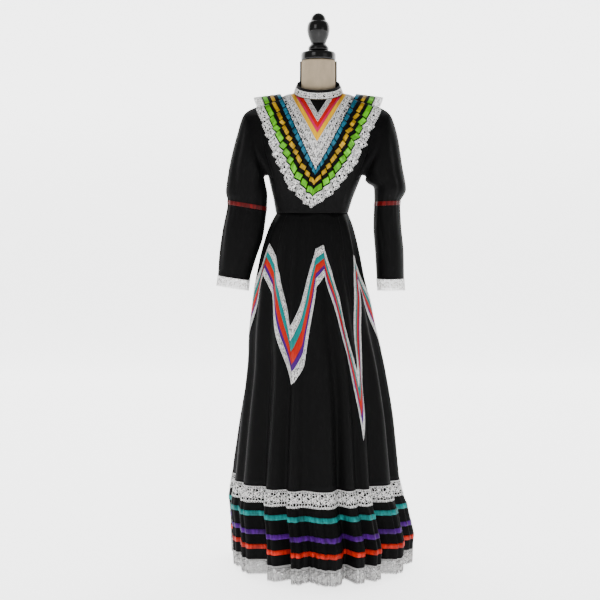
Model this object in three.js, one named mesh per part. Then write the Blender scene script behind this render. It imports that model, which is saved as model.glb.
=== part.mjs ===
// Jalisco dance dress on its limbless dress form.
//
// Millimetres, +Z up. The origin is on the floor under the pole, the front of the dress
// faces -Y and the wearer's left is +X. Every cloth piece is a thin wall: a sheet of
// points gives the outer face and the inner face lies one wall thickness behind it.
// Ribbons and lace use the points of the panel they lie on, moved outwards.

import * as THREE from 'three';

// ---------------------------------------------------------------- driving dimensions

const CLOTH = 1.5; // wall of the black cloth
const TRIM = 1.0; // wall of ribbon and lace
const SEAM_GAP = 0.3; // between two pieces at a seam, and under a trim
const SEAM_HALF = 0.17; // each piece draws back this far from its own edge
const ARMHOLE_GAP = 1.2; // between the armhole and the sleeve head, sideways
const CHEST_GAP = 0.5; // under the ribbons on the chest, which end in points
const STRAIGHT = 0.02; // two edges in line, as the square of the sine between them
const SECTION_POWER = 2.2; // squareness of the torso's sections

const WAIST_Z = 1094;
const SEAM_Z = 269; // skirt to flounce
const FLOUNCE_LACE_END = 224;
const FLOUNCE_END = 56;
const HEM_Z = 13;

const NECK_X = 6; // the form leans a little to the wearer's left
const NECK_HALF = 74; // neckline, half width
const NECK_Z = 1459; // neckline at the side of the neck
const NECK_FRONT_DROP = 26;
const NECK_BACK_RISE = 25;
const NECK_FRONT_DEPTH = 55;
const NECK_BACK_DEPTH = 60;
const SHOULDER_FROM = 1410; // the shoulder line starts at this height

const COLLAR_HALF = 64.5; // top edge of the stand collar
const COLLAR_DEPTH = 60;
const COLLAR_SIDE_Z = 1486;
const COLLAR_FRONT_Z = 1461;
const COLLAR_BACK_Z = 1510;
const COLLAR_RIM = 0.12; // plain black share of the collar above its lace
const COLLAR_LIFT = 2.4; // collar above the outer face of the neckline

const TORSO_TOP = 1556;
const TORSO_BOTTOM = 850;
const CAP_TOP = 1583;
const POLE_RADIUS = 15;
const BASE_RADIUS = 160;
const BASE_THICK = 12;

// Torso of the dress, section by section: half width, front and back depth, and how far
// the middle lies from the pole's axis.
const BODY = [
  { z: 1094, half: 111, front: 90, back: 86, shift: -13 },
  { z: 1140, half: 122, front: 98, back: 88, shift: -10 },
  { z: 1213, half: 145, front: 112, back: 95, shift: -4 },
  { z: 1300, half: 168, front: 121, back: 100, shift: 0 },
  { z: 1360, half: 178, front: 106, back: 98, shift: 2 },
  { z: 1410, half: 187, front: 74, back: 84, shift: 4 },
  { z: 1434, half: 150, front: 62, back: 70, shift: 5 },
  { z: 1450, half: 106, front: 57, back: 62, shift: NECK_X },
  { z: NECK_Z, half: NECK_HALF, front: 55, back: 60, shift: NECK_X },
];

// The dress form inside it, seated under the shoulder seams and clear elsewhere. A low
// power gives the shoulders their ridge.
const FORM = [
  { z: TORSO_BOTTOM, half: 116, front: 82, back: 86, shift: -10, power: 2.2 },
  { z: 862, half: 128, front: 92, back: 96, shift: -11, power: 2.2 },
  { z: 930, half: 134, front: 98, back: 102, shift: -15, power: 2.2 },
  { z: 1000, half: 122, front: 92, back: 94, shift: -16, power: 2.2 },
  { z: 1094, half: 101, front: 80, back: 76, shift: -13, power: 2.2 },
  { z: 1140, half: 112, front: 88, back: 78, shift: -10, power: 2.2 },
  { z: 1213, half: 133, front: 101, back: 85, shift: -4, power: 2.2 },
  { z: 1300, half: 149, front: 109, back: 90, shift: 0, power: 2.2 },
  { z: 1360, half: 156, front: 92, back: 86, shift: 2, power: 2.2 },
  { z: 1400, half: 158, front: 60, back: 68, shift: 4, power: 2 },
  { z: 1414, half: 150, front: 54, back: 64, shift: 5, power: 1.6 },
  { z: 1434, half: 132, front: 46, back: 58, shift: NECK_X, power: 1.2 },
  { z: 1444.8, half: 114, front: 46, back: 55, shift: NECK_X, power: 1.1 },
  { z: 1456, half: 57, front: 38, back: 50, shift: NECK_X, power: 1.6 },
  { z: 1476, half: 52, front: 47, back: 51, shift: NECK_X, power: 2 },
  { z: TORSO_TOP, half: 51.5, front: 50, back: 50, shift: NECK_X, power: 2 },
];

// Skirt and flounce, section by section, with the depth of a full fold at that height.
const SKIRT = [
  { z: WAIST_Z, half: 111, front: 90, back: 86, shift: -13, fold: 1.5 },
  { z: 1054, half: 130, front: 102, back: 100, shift: -16, fold: 3 },
  { z: 981, half: 152, front: 118, back: 120, shift: -19, fold: 7 },
  { z: 906, half: 168, front: 130, back: 136, shift: -20, fold: 10 },
  { z: 832, half: 183, front: 142, back: 151, shift: -16, fold: 13 },
  { z: 757, half: 196, front: 152, back: 165, shift: -13, fold: 16 },
  { z: 607, half: 219, front: 169, back: 188, shift: -1, fold: 22 },
  { z: 456, half: 241, front: 184, back: 206, shift: 2, fold: 27 },
  { z: 342, half: 253, front: 195, back: 217, shift: 2, fold: 30 },
  { z: SEAM_Z, half: 261, front: 202, back: 225, shift: 2, fold: 31 },
  { z: FLOUNCE_LACE_END, half: 270, front: 213, back: 240, shift: 3, fold: 32 },
  { z: 191, half: 278, front: 223, back: 248, shift: 7, fold: 34 },
  { z: 145, half: 281, front: 242, back: 258, shift: 14, fold: 36 },
  { z: 96, half: 285, front: 264, back: 268, shift: 20, fold: 38 },
  { z: FLOUNCE_END, half: 283, front: 270, back: 274, shift: 19, fold: 39 },
  { z: HEM_Z, half: 281, front: 281, back: 278, shift: 19, fold: 40 },
];

// The skirt's folds, in degrees round from the front towards the wearer's left: each
// crest, the valley after it, how deep that valley is and how far the crest stands out.
const FOLDS = [
  { crest: -75, valley: -66, depth: 0.5, reach: 0 },
  { crest: -57, valley: -43.5, depth: 0.9, reach: 0 },
  { crest: -33, valley: -23.6, depth: 0.8, reach: 0 },
  { crest: -17.5, valley: -10, depth: 0.7, reach: 0 },
  { crest: 6, valley: 16, depth: 1.0, reach: 4 },
  { crest: 22, valley: 29, depth: 0.6, reach: 0 },
  { crest: 34, valley: 44, depth: 0.9, reach: 0 },
  { crest: 57, valley: 68, depth: 0.8, reach: 0 },
  { crest: 80, valley: 93, depth: 0.8, reach: 0 },
  { crest: 108, valley: 122, depth: 0.9, reach: 4 },
  { crest: 137, valley: 151, depth: 1.0, reach: 0 },
  { crest: 166, valley: 180, depth: 0.9, reach: 6 },
  { crest: 195, valley: 209, depth: 1.0, reach: 0 },
  { crest: 224, valley: 238, depth: 0.9, reach: 4 },
  { crest: 253, valley: 268, depth: 1.0, reach: 18 },
];
const REACH_TOP = 640; // above this height no crest stands out
const REACH_FULL = 304;
const FINE_FROM = -76; // columns between these angles are doubled
const FINE_TO = 94;

// Corners of the zigzag band: angle, height of its upper edge, and its depth below that.
const ZIGZAG = [
  { at: -92, top: 764, tall: 220 },
  { at: -57, top: 1003, tall: 95 },
  { at: -43.5, top: 965, tall: 112 },
  { at: -33, top: 912, tall: 190 },
  { at: -23.6, top: 800, tall: 188 },
  { at: -20.55, top: 755, tall: 171 },
  { at: -17.5, top: 770, tall: 177 },
  { at: -10, top: 828, tall: 188 },
  { at: 6, top: 988, tall: 112 },
  { at: 16, top: 999, tall: 92 },
  { at: 22, top: 930, tall: 128 },
  { at: 29, top: 845, tall: 172 },
  { at: 34, top: 622, tall: 206 },
  { at: 57, top: 968, tall: 95 },
  { at: 68, top: 925, tall: 115 },
  { at: 80, top: 840, tall: 150 },
  { at: 93, top: 742, tall: 190 },
  { at: 122, top: 980, tall: 88 },
  { at: 151, top: 712, tall: 190 },
  { at: 180, top: 980, tall: 88 },
  { at: 209, top: 712, tall: 190 },
  { at: 238, top: 980, tall: 88 },
  { at: 268, top: 764, tall: 220 },
];
const ZIGZAG_STRIPS = [
  { name: 'zigzag_lace_upper', from: 0, to: 0.24, finish: 'lace' },
  { name: 'zigzag_teal', from: 0.24, to: 0.43, finish: 'teal' },
  { name: 'zigzag_red', from: 0.43, to: 0.65, finish: 'orangeRed' },
  { name: 'zigzag_purple', from: 0.65, to: 0.78, finish: 'purple' },
  { name: 'zigzag_lace_lower', from: 0.78, to: 1, finish: 'lace' },
];

const HIP_ROW = 0.4; // a row of points this share of the way from the waist to the zigzag
const LOW_ROW = 0.5; // and one this share of the way from the zigzag to the flounce

const SKIRT_PANELS = [
  { name: 'front', from: -43.5, to: 44 },
  { name: 'side_left', from: 44, to: 93 },
  { name: 'back_side_left', from: 93, to: 151 },
  { name: 'back', from: 151, to: 209 },
  { name: 'back_side_right', from: 209, to: 268 },
  { name: 'side_right', from: 268, to: 316.5 },
];

const FLOUNCE_RIBBONS = [
  { name: 'flounce_ribbon_teal', top: 199, bottom: 184, finish: 'teal' },
  { name: 'flounce_ribbon_purple', top: 145, bottom: 131, finish: 'purple' },
  { name: 'flounce_ribbon_red', top: 103, bottom: 89, finish: 'orangeRed' },
];

// Columns of the bodice: share of the way from the centre line to the side, and where
// the neckline crosses that column, as a share of its half width.
const QUARTER = [
  { share: 0, neck: 0 },
  { share: 0.165, neck: 0.338 },
  { share: 0.33, neck: 0.581 },
  { share: 0.57, neck: 0.797 },
  { share: 0.776, neck: 0.96 },
  { share: 0.9, neck: 0.985 },
  { share: 0.967, neck: 0.997 },
  { share: 1, neck: 1 },
];
const LAST = QUARTER.length - 1;
const ARMHOLE_COLUMN = LAST - 2;

// V lines on the chest, from the neckline outwards. Each runs straight from its tip on
// the centre line up to a column of the neckline, or to the shoulder at the given reach.
const V_LINES = [
  { tip: 1390, column: 1 },
  { tip: 1363, column: 2 },
  { tip: 1345, column: 3 },
  { tip: 1330, column: 4 },
  { tip: 1305, backTip: 1398, reach: 87 },
  { tip: 1221, backTip: 1315, reach: 115 },
];
const CHEST_BANDS = [
  { name: 'chest_lace_narrow', line: 0, finish: 'lace' },
  { name: 'chest_ribbon_red', line: 1, finish: 'red' },
  { name: 'chest_ribbon_pink', line: 2, finish: 'pink' },
  { name: 'chest_ribbon_yellow', line: 3, finish: 'yellow' },
];

// Lower rings of the bodice: centre height in front and behind, then the armhole's edge.
const SHOULDER_RING = {
  frontZ: 1170,
  backZ: 1235,
  edge: 163,
  edgeZ: 1340,
  upper: 170,
  upperZ: 1390,
  tip: 172,
};
const ARMHOLE_RING = { frontZ: 1152, backZ: 1190, edge: 152, edgeZ: 1272 };
const ARMPIT_RING = { centreZ: 1138, edgeZ: 1213 };
const MIDRIFF_RING = { centreZ: 1112, edgeZ: 1140 };

// Outer edge of the gathered bertha ruffle along one arm of its V: share of the way from
// the tip to the shoulder, distance from the middle, depth in front of it and height.
const BERTHA_FRONT = [
  { along: 0, side: 0, out: 126, z: 1110 },
  { along: 0.2, side: 66, out: 119, z: 1166 },
  { along: 0.4, side: 103, out: 109, z: 1222 },
  { along: 0.55, side: 128, out: 99, z: 1268 },
  { along: 0.7, side: 150, out: 87, z: 1314 },
  { along: 0.85, side: 172, out: 68, z: 1364 },
  { along: 0.93, side: 187, out: 44, z: 1404 },
  { along: 1, side: 197, out: 0, z: 1436 },
];
const BERTHA_BACK = [
  { along: 0, side: 0, out: 120, z: 1200 },
  { along: 0.25, side: 54, out: 114, z: 1236 },
  { along: 0.5, side: 102, out: 104, z: 1286 },
  { along: 0.7, side: 142, out: 90, z: 1330 },
  { along: 0.85, side: 172, out: 68, z: 1376 },
  { along: 0.93, side: 187, out: 46, z: 1410 },
  { along: 1, side: 197, out: 0, z: 1436 },
];
const BERTHA_PLEATS_FRONT = 10; // on each arm
const BERTHA_PLEATS_BACK = 6;
const BERTHA_PLEAT_DEPTH = 5; // out and in from the middle, at the edge
const BERTHA_CLEAR_TOP = 3.4; // off the chest at the gathered edge
const BERTHA_CLEAR_EDGE = 12;
const BERTHA_SHOULDER_LIFT = 9; // over the shoulder seam
const BERTHA_TIP_DRIFT = -14; // the front tip hangs a little off centre
const BERTHA_LACE_FROM = 0.72;
const BERTHA_RIBBONS = [
  { name: 'bertha_ribbon_blue', from: 0.02, to: 0.14, finish: 'blue' },
  { name: 'bertha_ribbon_gold', from: 0.27, to: 0.4, finish: 'gold' },
  { name: 'bertha_ribbon_lime', from: 0.53, to: 0.68, finish: 'lime' },
];

// Sleeve rings: outer and inner point of each, and half its front-to-back depth. x is
// from the pole's axis, and "side" tells the wearer's left (+1) from the right (-1).
const SLEEVES = [
  {
    name: 'left',
    side: 1,
    rings: [
      { outer: 222, outerZ: 1398, inner: 152, innerZ: 1204, depth: 52 },
      { outer: 247, outerZ: 1336, inner: 150, innerZ: 1196, depth: 60 },
      { outer: 264, outerZ: 1238, inner: 157, innerZ: 1186, depth: 62 },
      { outer: 276, outerZ: 1168, inner: 177, innerZ: 1170, depth: 61 },
      { outer: 259, outerZ: 1132, inner: 179, innerZ: 1129, depth: 50 },
      { outer: 258, outerZ: 1119, inner: 178, innerZ: 1116, depth: 50 },
      { outer: 262, outerZ: 1054, inner: 176, innerZ: 1054, depth: 51 },
      { outer: 270, outerZ: 975, inner: 182, innerZ: 972, depth: 50 },
      { outer: 272, outerZ: 893, inner: 187, innerZ: 892, depth: 47 },
      { outer: 275, outerZ: 858, inner: 190, innerZ: 857, depth: 48 },
    ],
  },
  {
    name: 'right',
    side: -1,
    rings: [
      { outer: 218, outerZ: 1398, inner: 160, innerZ: 1204, depth: 50 },
      { outer: 245, outerZ: 1325, inner: 158, innerZ: 1194, depth: 56 },
      { outer: 270, outerZ: 1220, inner: 155, innerZ: 1180, depth: 50 },
      { outer: 278, outerZ: 1160, inner: 150, innerZ: 1150, depth: 44 },
      { outer: 273, outerZ: 1134, inner: 152, innerZ: 1114, depth: 38 },
      { outer: 273, outerZ: 1121, inner: 153, innerZ: 1101, depth: 38 },
      { outer: 290, outerZ: 1035, inner: 163, innerZ: 1025, depth: 43 },
      { outer: 300, outerZ: 960, inner: 186, innerZ: 954, depth: 40 },
      { outer: 304, outerZ: 903, inner: 205, innerZ: 888, depth: 34 },
      { outer: 308, outerZ: 872, inner: 209, innerZ: 856, depth: 35 },
    ],
  },
];
const ELBOW_ROW = 5; // the ring above the elbow ribbon, counted with the armhole as 0
const CUFF_ROW = 9; // the ring where the cuff lace starts

// Half outlines of the turned pieces, as radius and height.
const FINIAL_OUTLINE = [
  { r: 0, z: 0.3 },
  { r: 27, z: 0.3 },
  { r: 31.5, z: 6 },
  { r: 31.5, z: 13 },
  { r: 26, z: 20 },
  { r: 22, z: 24 },
  { r: 24, z: 30 },
  { r: 31, z: 46 },
  { r: 35, z: 64 },
  { r: 33.5, z: 80 },
  { r: 29, z: 89 },
  { r: 24, z: 92 },
  { r: 23, z: 96 },
  { r: 20, z: 106 },
  { r: 12, z: 114.5 },
  { r: 0, z: 118 },
];
const CAP_OUTLINE = [
  { r: 0, z: 0.3 },
  { r: 51, z: 0.3 },
  { r: 53, z: 4 },
  { r: 53, z: 20 },
  { r: 50, z: 25.5 },
  { r: 44, z: 27 },
  { r: 0, z: 27 },
];
const BASE_OUTLINE = [
  { r: 0, z: 0 },
  { r: BASE_RADIUS, z: 0 },
  { r: BASE_RADIUS, z: 5 },
  { r: BASE_RADIUS - 8, z: 9 },
  { r: 40, z: BASE_THICK },
  { r: 0, z: BASE_THICK },
];

const ZIP_PULL = { width: 5, tall: 20, thick: 1.6, drop: 3 };

// ---------------------------------------------------------------- finishes

const FINISHES = {
  black: new THREE.MeshStandardMaterial({ color: 0x101012, roughness: 0.85 }),
  lace: new THREE.MeshStandardMaterial({ color: 0xe6e4e0, roughness: 0.8 }),
  red: new THREE.MeshStandardMaterial({ color: 0xc81e1e, roughness: 0.35 }),
  pink: new THREE.MeshStandardMaterial({ color: 0xc8328c, roughness: 0.35 }),
  yellow: new THREE.MeshStandardMaterial({ color: 0xf0c828, roughness: 0.35 }),
  blue: new THREE.MeshStandardMaterial({ color: 0x387e94, roughness: 0.35 }),
  gold: new THREE.MeshStandardMaterial({ color: 0xd2a832, roughness: 0.35 }),
  lime: new THREE.MeshStandardMaterial({ color: 0x82c846, roughness: 0.35 }),
  teal: new THREE.MeshStandardMaterial({ color: 0x1e8c82, roughness: 0.35 }),
  purple: new THREE.MeshStandardMaterial({ color: 0x5a1e8c, roughness: 0.35 }),
  orangeRed: new THREE.MeshStandardMaterial({ color: 0xdc3c14, roughness: 0.35 }),
  linen: new THREE.MeshStandardMaterial({ color: 0xbeb29b, roughness: 0.9 }),
  lacquer: new THREE.MeshStandardMaterial({ color: 0x0a0a0a, roughness: 0.15 }),
  steel: new THREE.MeshStandardMaterial({ color: 0x202022, roughness: 0.4, metalness: 0.8 }),
};

const dress = new THREE.Group();

function addMesh(name, geometry, finish) {
  const mesh = new THREE.Mesh(geometry, FINISHES[finish]);
  mesh.name = name;
  dress.add(mesh);
  return mesh;
}

// ---------------------------------------------------------------- reading the tables

function lerp(a, b, t) {
  return a + (b - a) * t;
}

// Row of a table at a value of its key column, each other column being interpolated.
function tableRow(table, key, value) {
  const rising = table[table.length - 1][key] > table[0][key];
  const sign = rising ? 1 : -1;
  let upper = table.findIndex((row) => sign * row[key] >= sign * value);
  if (upper < 0) upper = table.length - 1;
  if (upper === 0) upper = 1;
  const a = table[upper - 1];
  const b = table[upper];
  const t = THREE.MathUtils.clamp((value - a[key]) / (b[key] - a[key]), 0, 1);
  const row = {};
  for (const column of Object.keys(a)) {
    row[column] = typeof a[column] === 'number' ? lerp(a[column], b[column], t) : a[column];
  }
  return row;
}

// ---------------------------------------------------------------- sheets and walls

// A sheet is a grid of points. Seen from outside, rows run down and columns run to the
// right. Points that fall together count as one, so a cell may be a triangle. A cell is
// split along its shorter diagonal.
class Sheet {
  constructor(rows, { closed = false, holes = () => false } = {}) {
    this.rows = rows;
    this.closed = closed;
    this.columns = rows[0].length;
    this.points = [];
    this.normals = [];
    this.known = new Map();
    this.ids = rows.map((row) => row.map((point) => this.idOf(point)));
    this.holes = holes;
    this.findNormals();
  }

  idOf(point) {
    const key = [point.x, point.y, point.z].map((value) => value.toFixed(3)).join(' ');
    if (!this.known.has(key)) {
      this.known.set(key, this.points.length);
      this.points.push(point);
    }
    return this.known.get(key);
  }

  // Cells of the rows and columns from..to, without the sheet's holes.
  cells(rowFrom = 0, rowTo = this.rows.length - 1, columnFrom = 0, columnTo = null) {
    const last = columnTo ?? (this.closed ? this.columns : this.columns - 1);
    const list = [];
    for (let row = rowFrom; row < rowTo; row += 1) {
      for (let column = columnFrom; column < last; column += 1) {
        if (!this.holes(row, column)) list.push([row, column]);
      }
    }
    return list;
  }

  triangles(cells) {
    const list = [];
    for (const [row, column] of cells) {
      const left = column % this.columns;
      const right = (column + 1) % this.columns;
      const a = this.ids[row][left];
      const b = this.ids[row + 1][left];
      const c = this.ids[row + 1][right];
      const d = this.ids[row][right];
      const points = this.points;
      const rising = points[b].distanceTo(points[d]) < points[a].distanceTo(points[c]);
      for (const corners of rising ? [[a, b, d], [b, c, d]] : [[a, b, c], [a, c, d]]) {
        if (new Set(corners).size === 3) list.push(corners);
      }
    }
    return list;
  }

  findNormals() {
    this.normals = this.points.map(() => new THREE.Vector3());
    for (const [a, b, c] of this.triangles(this.cells())) {
      const ab = this.points[b].clone().sub(this.points[a]);
      const ac = this.points[c].clone().sub(this.points[a]);
      const face = ab.cross(ac);
      for (const id of [a, b, c]) this.normals[id].add(face);
    }
    for (const normal of this.normals) normal.normalize();
  }
}

// How far each point on the edge of a piece draws back into it, so that two pieces that
// share an edge lie a seam gap apart. Each edge moves inwards in the plane of its own
// triangle, and a corner moves along the mitre of its two edges, without leaving the sheet.
function seamMoves(sheet, edges) {
  const inwards = new Map();
  for (const [from, to, third] of edges) {
    const along = sheet.points[to].clone().sub(sheet.points[from]).normalize();
    const inward = sheet.points[third].clone().sub(sheet.points[from]);
    inward.addScaledVector(along, -inward.dot(along)).normalize();
    for (const id of [from, to]) inwards.set(id, [...(inwards.get(id) ?? []), inward]);
  }
  const moves = new Map();
  for (const [id, pair] of inwards) {
    const normal = sheet.normals[id];
    const [p, q] = pair.map((inward) => inward.clone().addScaledVector(normal, -inward.dot(normal)));
    moves.set(id, mitre(p, q));
  }
  return moves;
}

// The move that carries a corner SEAM_HALF away from both of its edges.
function mitre(p, q) {
  const [pp, qq, pq] = [p.dot(p), q.dot(q), p.dot(q)];
  const spread = pp * qq - pq * pq;
  if (spread > STRAIGHT) {
    const move = p.clone().multiplyScalar(qq - pq).addScaledVector(q, pp - pq);
    return move.multiplyScalar(SEAM_HALF / spread);
  }
  const mean = p.clone().add(q).multiplyScalar(0.5);
  return mean.multiplyScalar(SEAM_HALF / Math.max(STRAIGHT, mean.lengthSq()));
}

// Closed wall over some cells of a sheet, between two distances from its points.
function wall(name, sheet, cells, finish, inside, outside) {
  const triangles = sheet.triangles(cells);
  const edges = new Map();
  for (const [a, b, c] of triangles) {
    for (const [from, to, third] of [[a, b, c], [b, c, a], [c, a, b]]) {
      if (edges.has(`${to} ${from}`)) edges.delete(`${to} ${from}`);
      else edges.set(`${from} ${to}`, [from, to, third]);
    }
  }
  const moves = seamMoves(sheet, [...edges.values()]);
  const used = [...new Set(triangles.flat())];
  const place = new Map(used.map((id, index) => [id, index]));
  const positions = [];
  for (const distance of [outside, inside]) {
    for (const id of used) {
      const point = sheet.points[id].clone().addScaledVector(sheet.normals[id], distance);
      if (moves.has(id)) point.add(moves.get(id));
      positions.push(point.x, point.y, point.z);
    }
  }
  const back = used.length;
  const index = [];
  for (const [a, b, c] of triangles) {
    const [i, j, k] = [place.get(a), place.get(b), place.get(c)];
    index.push(i, j, k, back + i, back + k, back + j);
  }
  for (const [from, to] of edges.values()) {
    const [i, j] = [place.get(from), place.get(to)];
    // Neighbours split the strip between their faces along the same diagonal.
    if (from < to) index.push(i, back + i, back + j, i, back + j, j);
    else index.push(i, back + i, j, j, back + i, back + j);
  }
  const geometry = new THREE.BufferGeometry();
  geometry.setAttribute('position', new THREE.Float32BufferAttribute(positions, 3));
  geometry.setIndex(index);
  return addMesh(name, geometry, finish);
}

function panel(name, sheet, cells) {
  return wall(name, sheet, cells, 'black', -CLOTH, 0);
}

function trim(name, sheet, cells, finish, gap = SEAM_GAP) {
  return wall(name, sheet, cells, finish, gap, gap + TRIM);
}

// ---------------------------------------------------------------- torso surface

function superCosine(share) {
  const left = Math.max(0, 1 - Math.abs(share) ** SECTION_POWER);
  return left ** (1 / SECTION_POWER);
}

// Point of the torso at a distance from its middle (to +X or -X) and a height.
function bodyPoint(side, lateral, z, front) {
  const row = tableRow(BODY, 'z', z);
  const depth = (front ? -row.front : row.back) * superCosine(Math.min(1, lateral / row.half));
  return new THREE.Vector3(row.shift + side * lateral, depth, z);
}

// Height of the shoulder line at a distance from the middle.
function shoulderHeight(lateral) {
  const shoulder = BODY.filter((row) => row.z >= SHOULDER_FROM);
  return tableRow(shoulder, 'half', lateral).z;
}

function halfWidth(z) {
  return tableRow(BODY, 'z', z).half;
}

// ---------------------------------------------------------------- bodice

function neckPoint(column, front) {
  const lateral = NECK_HALF * QUARTER[column].neck;
  const turn = Math.sqrt(1 - QUARTER[column].neck ** 2);
  const z = front ? NECK_Z - NECK_FRONT_DROP * turn : NECK_Z + NECK_BACK_RISE * turn;
  return { lateral, z, y: front ? -NECK_FRONT_DEPTH * turn : NECK_BACK_DEPTH * turn };
}

function vLinePoint(line, column, front) {
  const { tip, backTip, reach, column: topColumn } = V_LINES[line];
  if (topColumn) {
    if (!front || column >= topColumn) return neckPoint(column, front);
    const top = neckPoint(topColumn, front);
    const share = QUARTER[column].share / QUARTER[topColumn].share;
    return { lateral: top.lateral * share, z: lerp(tip, top.z, share) };
  }
  const share = QUARTER[column].share;
  return { lateral: reach * share, z: lerp(front ? tip : backTip, shoulderHeight(reach), share) };
}

// Point of a ring that runs straight from the centre line to the armhole's edge.
function armholeRingPoint(column, front, ring = ARMHOLE_RING) {
  const share = Math.min(1, QUARTER[column].share / QUARTER[ARMHOLE_COLUMN].share);
  const centreZ = front ? ring.frontZ : ring.backZ;
  return { lateral: ring.edge * share, z: lerp(centreZ, ring.edgeZ, share) };
}

function shoulderRingPoint(column, front) {
  const ring = SHOULDER_RING;
  if (column === LAST) return { lateral: ring.tip, z: shoulderHeight(ring.tip) };
  if (column === LAST - 1) return { lateral: ring.upper, z: ring.upperZ };
  return armholeRingPoint(column, front, ring);
}

function levelRingPoint(centreZ, edgeZ) {
  return (column) => {
    const { share } = QUARTER[column];
    const z = lerp(centreZ, edgeZ, share ** 2);
    return { lateral: halfWidth(z) * share, z };
  };
}

const BODICE_RINGS = [
  neckPoint,
  ...V_LINES.map((_, line) => (column, front) => vLinePoint(line, column, front)),
  shoulderRingPoint,
  (column, front) => armholeRingPoint(column, front),
  levelRingPoint(ARMPIT_RING.centreZ, ARMPIT_RING.edgeZ),
  levelRingPoint(MIDRIFF_RING.centreZ, MIDRIFF_RING.edgeZ),
  levelRingPoint(WAIST_Z, WAIST_Z),
];
const SHOULDER_ROW = V_LINES.length + 1;
const ARMHOLE_ROW = SHOULDER_ROW + 1;
const ARMPIT_ROW = ARMHOLE_ROW + 1;

// Columns run from the centre back round the wearer's right side to the front, and on
// round the left side to the centre back again.
const BODICE_COLUMNS = [
  ...QUARTER.map((_, column) => ({ side: -1, front: false, column })),
  ...QUARTER.map((_, step) => ({ side: -1, front: true, column: LAST - step })).slice(1),
  ...QUARTER.map((_, column) => ({ side: 1, front: true, column })).slice(1),
  ...QUARTER.map((_, step) => ({ side: 1, front: false, column: LAST - step })).slice(1),
];
const SIDE_RIGHT = LAST; // place of the side seams in that list
const SIDE_LEFT = 3 * LAST;

function bodicePoint(ring, { side, front, column }) {
  const { lateral, z, y } = BODICE_RINGS[ring](column, front);
  const point = bodyPoint(side, lateral, z, front);
  return y === undefined ? point : point.setY(y);
}

function isArmhole(row, column) {
  const fromSide = Math.min(Math.abs(column + 0.5 - SIDE_RIGHT), Math.abs(column + 0.5 - SIDE_LEFT));
  return row >= SHOULDER_ROW && row < ARMPIT_ROW && fromSide < LAST - ARMHOLE_COLUMN;
}

const bodiceSheet = new Sheet(
  BODICE_RINGS.map((_, ring) => BODICE_COLUMNS.map((column) => bodicePoint(ring, column))),
  { holes: isArmhole },
);

function makeBodice() {
  const bottom = BODICE_RINGS.length - 1;
  panel('bodice_front', bodiceSheet, bodiceSheet.cells(0, bottom, SIDE_RIGHT, SIDE_LEFT));
  panel('bodice_back_right', bodiceSheet, bodiceSheet.cells(0, bottom, 0, SIDE_RIGHT));
  panel('bodice_back_left', bodiceSheet, bodiceSheet.cells(0, bottom, SIDE_LEFT, 4 * LAST));
}

function makeChestBands() {
  for (const { name, line, finish } of CHEST_BANDS) {
    const cells = bodiceSheet.cells(line + 1, line + 2, SIDE_RIGHT, SIDE_LEFT);
    trim(name, bodiceSheet, cells, finish, CHEST_GAP);
  }
  const laceRow = V_LINES.length - 1;
  trim('chest_lace_wide', bodiceSheet, bodiceSheet.cells(laceRow, laceRow + 1), 'lace');
}

// ---------------------------------------------------------------- stand collar

function collarTopPoint({ side, front, column }) {
  const turn = Math.sqrt(1 - QUARTER[column].neck ** 2);
  const z = lerp(COLLAR_SIDE_Z, front ? COLLAR_FRONT_Z : COLLAR_BACK_Z, turn);
  const y = COLLAR_DEPTH * turn * (front ? -1 : 1);
  return new THREE.Vector3(NECK_X + side * COLLAR_HALF * QUARTER[column].neck, y, z);
}

function makeCollar() {
  const top = BODICE_COLUMNS.map(collarTopPoint);
  const base = BODICE_COLUMNS.map((column) => bodicePoint(0, column));
  const lift = new THREE.Vector3(0, 0, COLLAR_LIFT);
  const lifted = base.map((point) => point.clone().add(lift));
  const rim = top.map((point, index) => point.clone().lerp(lifted[index], COLLAR_RIM));
  const sheet = new Sheet([top, rim, lifted]);
  panel('collar', sheet, sheet.cells());
  trim('collar_lace', sheet, sheet.cells(1, 2), 'lace');
}

// ---------------------------------------------------------------- bertha ruffle

// Columns of the ruffle, two for each pleat, in the bodice's order.
function berthaColumns() {
  const arm = (pleats, side, front, towardsTip) => {
    const steps = 2 * pleats;
    const list = [];
    for (let step = 0; step <= steps; step += 1) {
      const along = towardsTip ? 1 - step / steps : step / steps;
      const crest = (towardsTip ? steps - step : step) % 2 === 0 ? -1 : 1;
      list.push({ side, front, along, crest });
    }
    return list;
  };
  return [
    ...arm(BERTHA_PLEATS_BACK, -1, false, false),
    ...arm(BERTHA_PLEATS_FRONT, -1, true, true).slice(1),
    ...arm(BERTHA_PLEATS_FRONT, 1, true, false).slice(1),
    ...arm(BERTHA_PLEATS_BACK, 1, false, true).slice(1),
  ];
}

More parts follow.
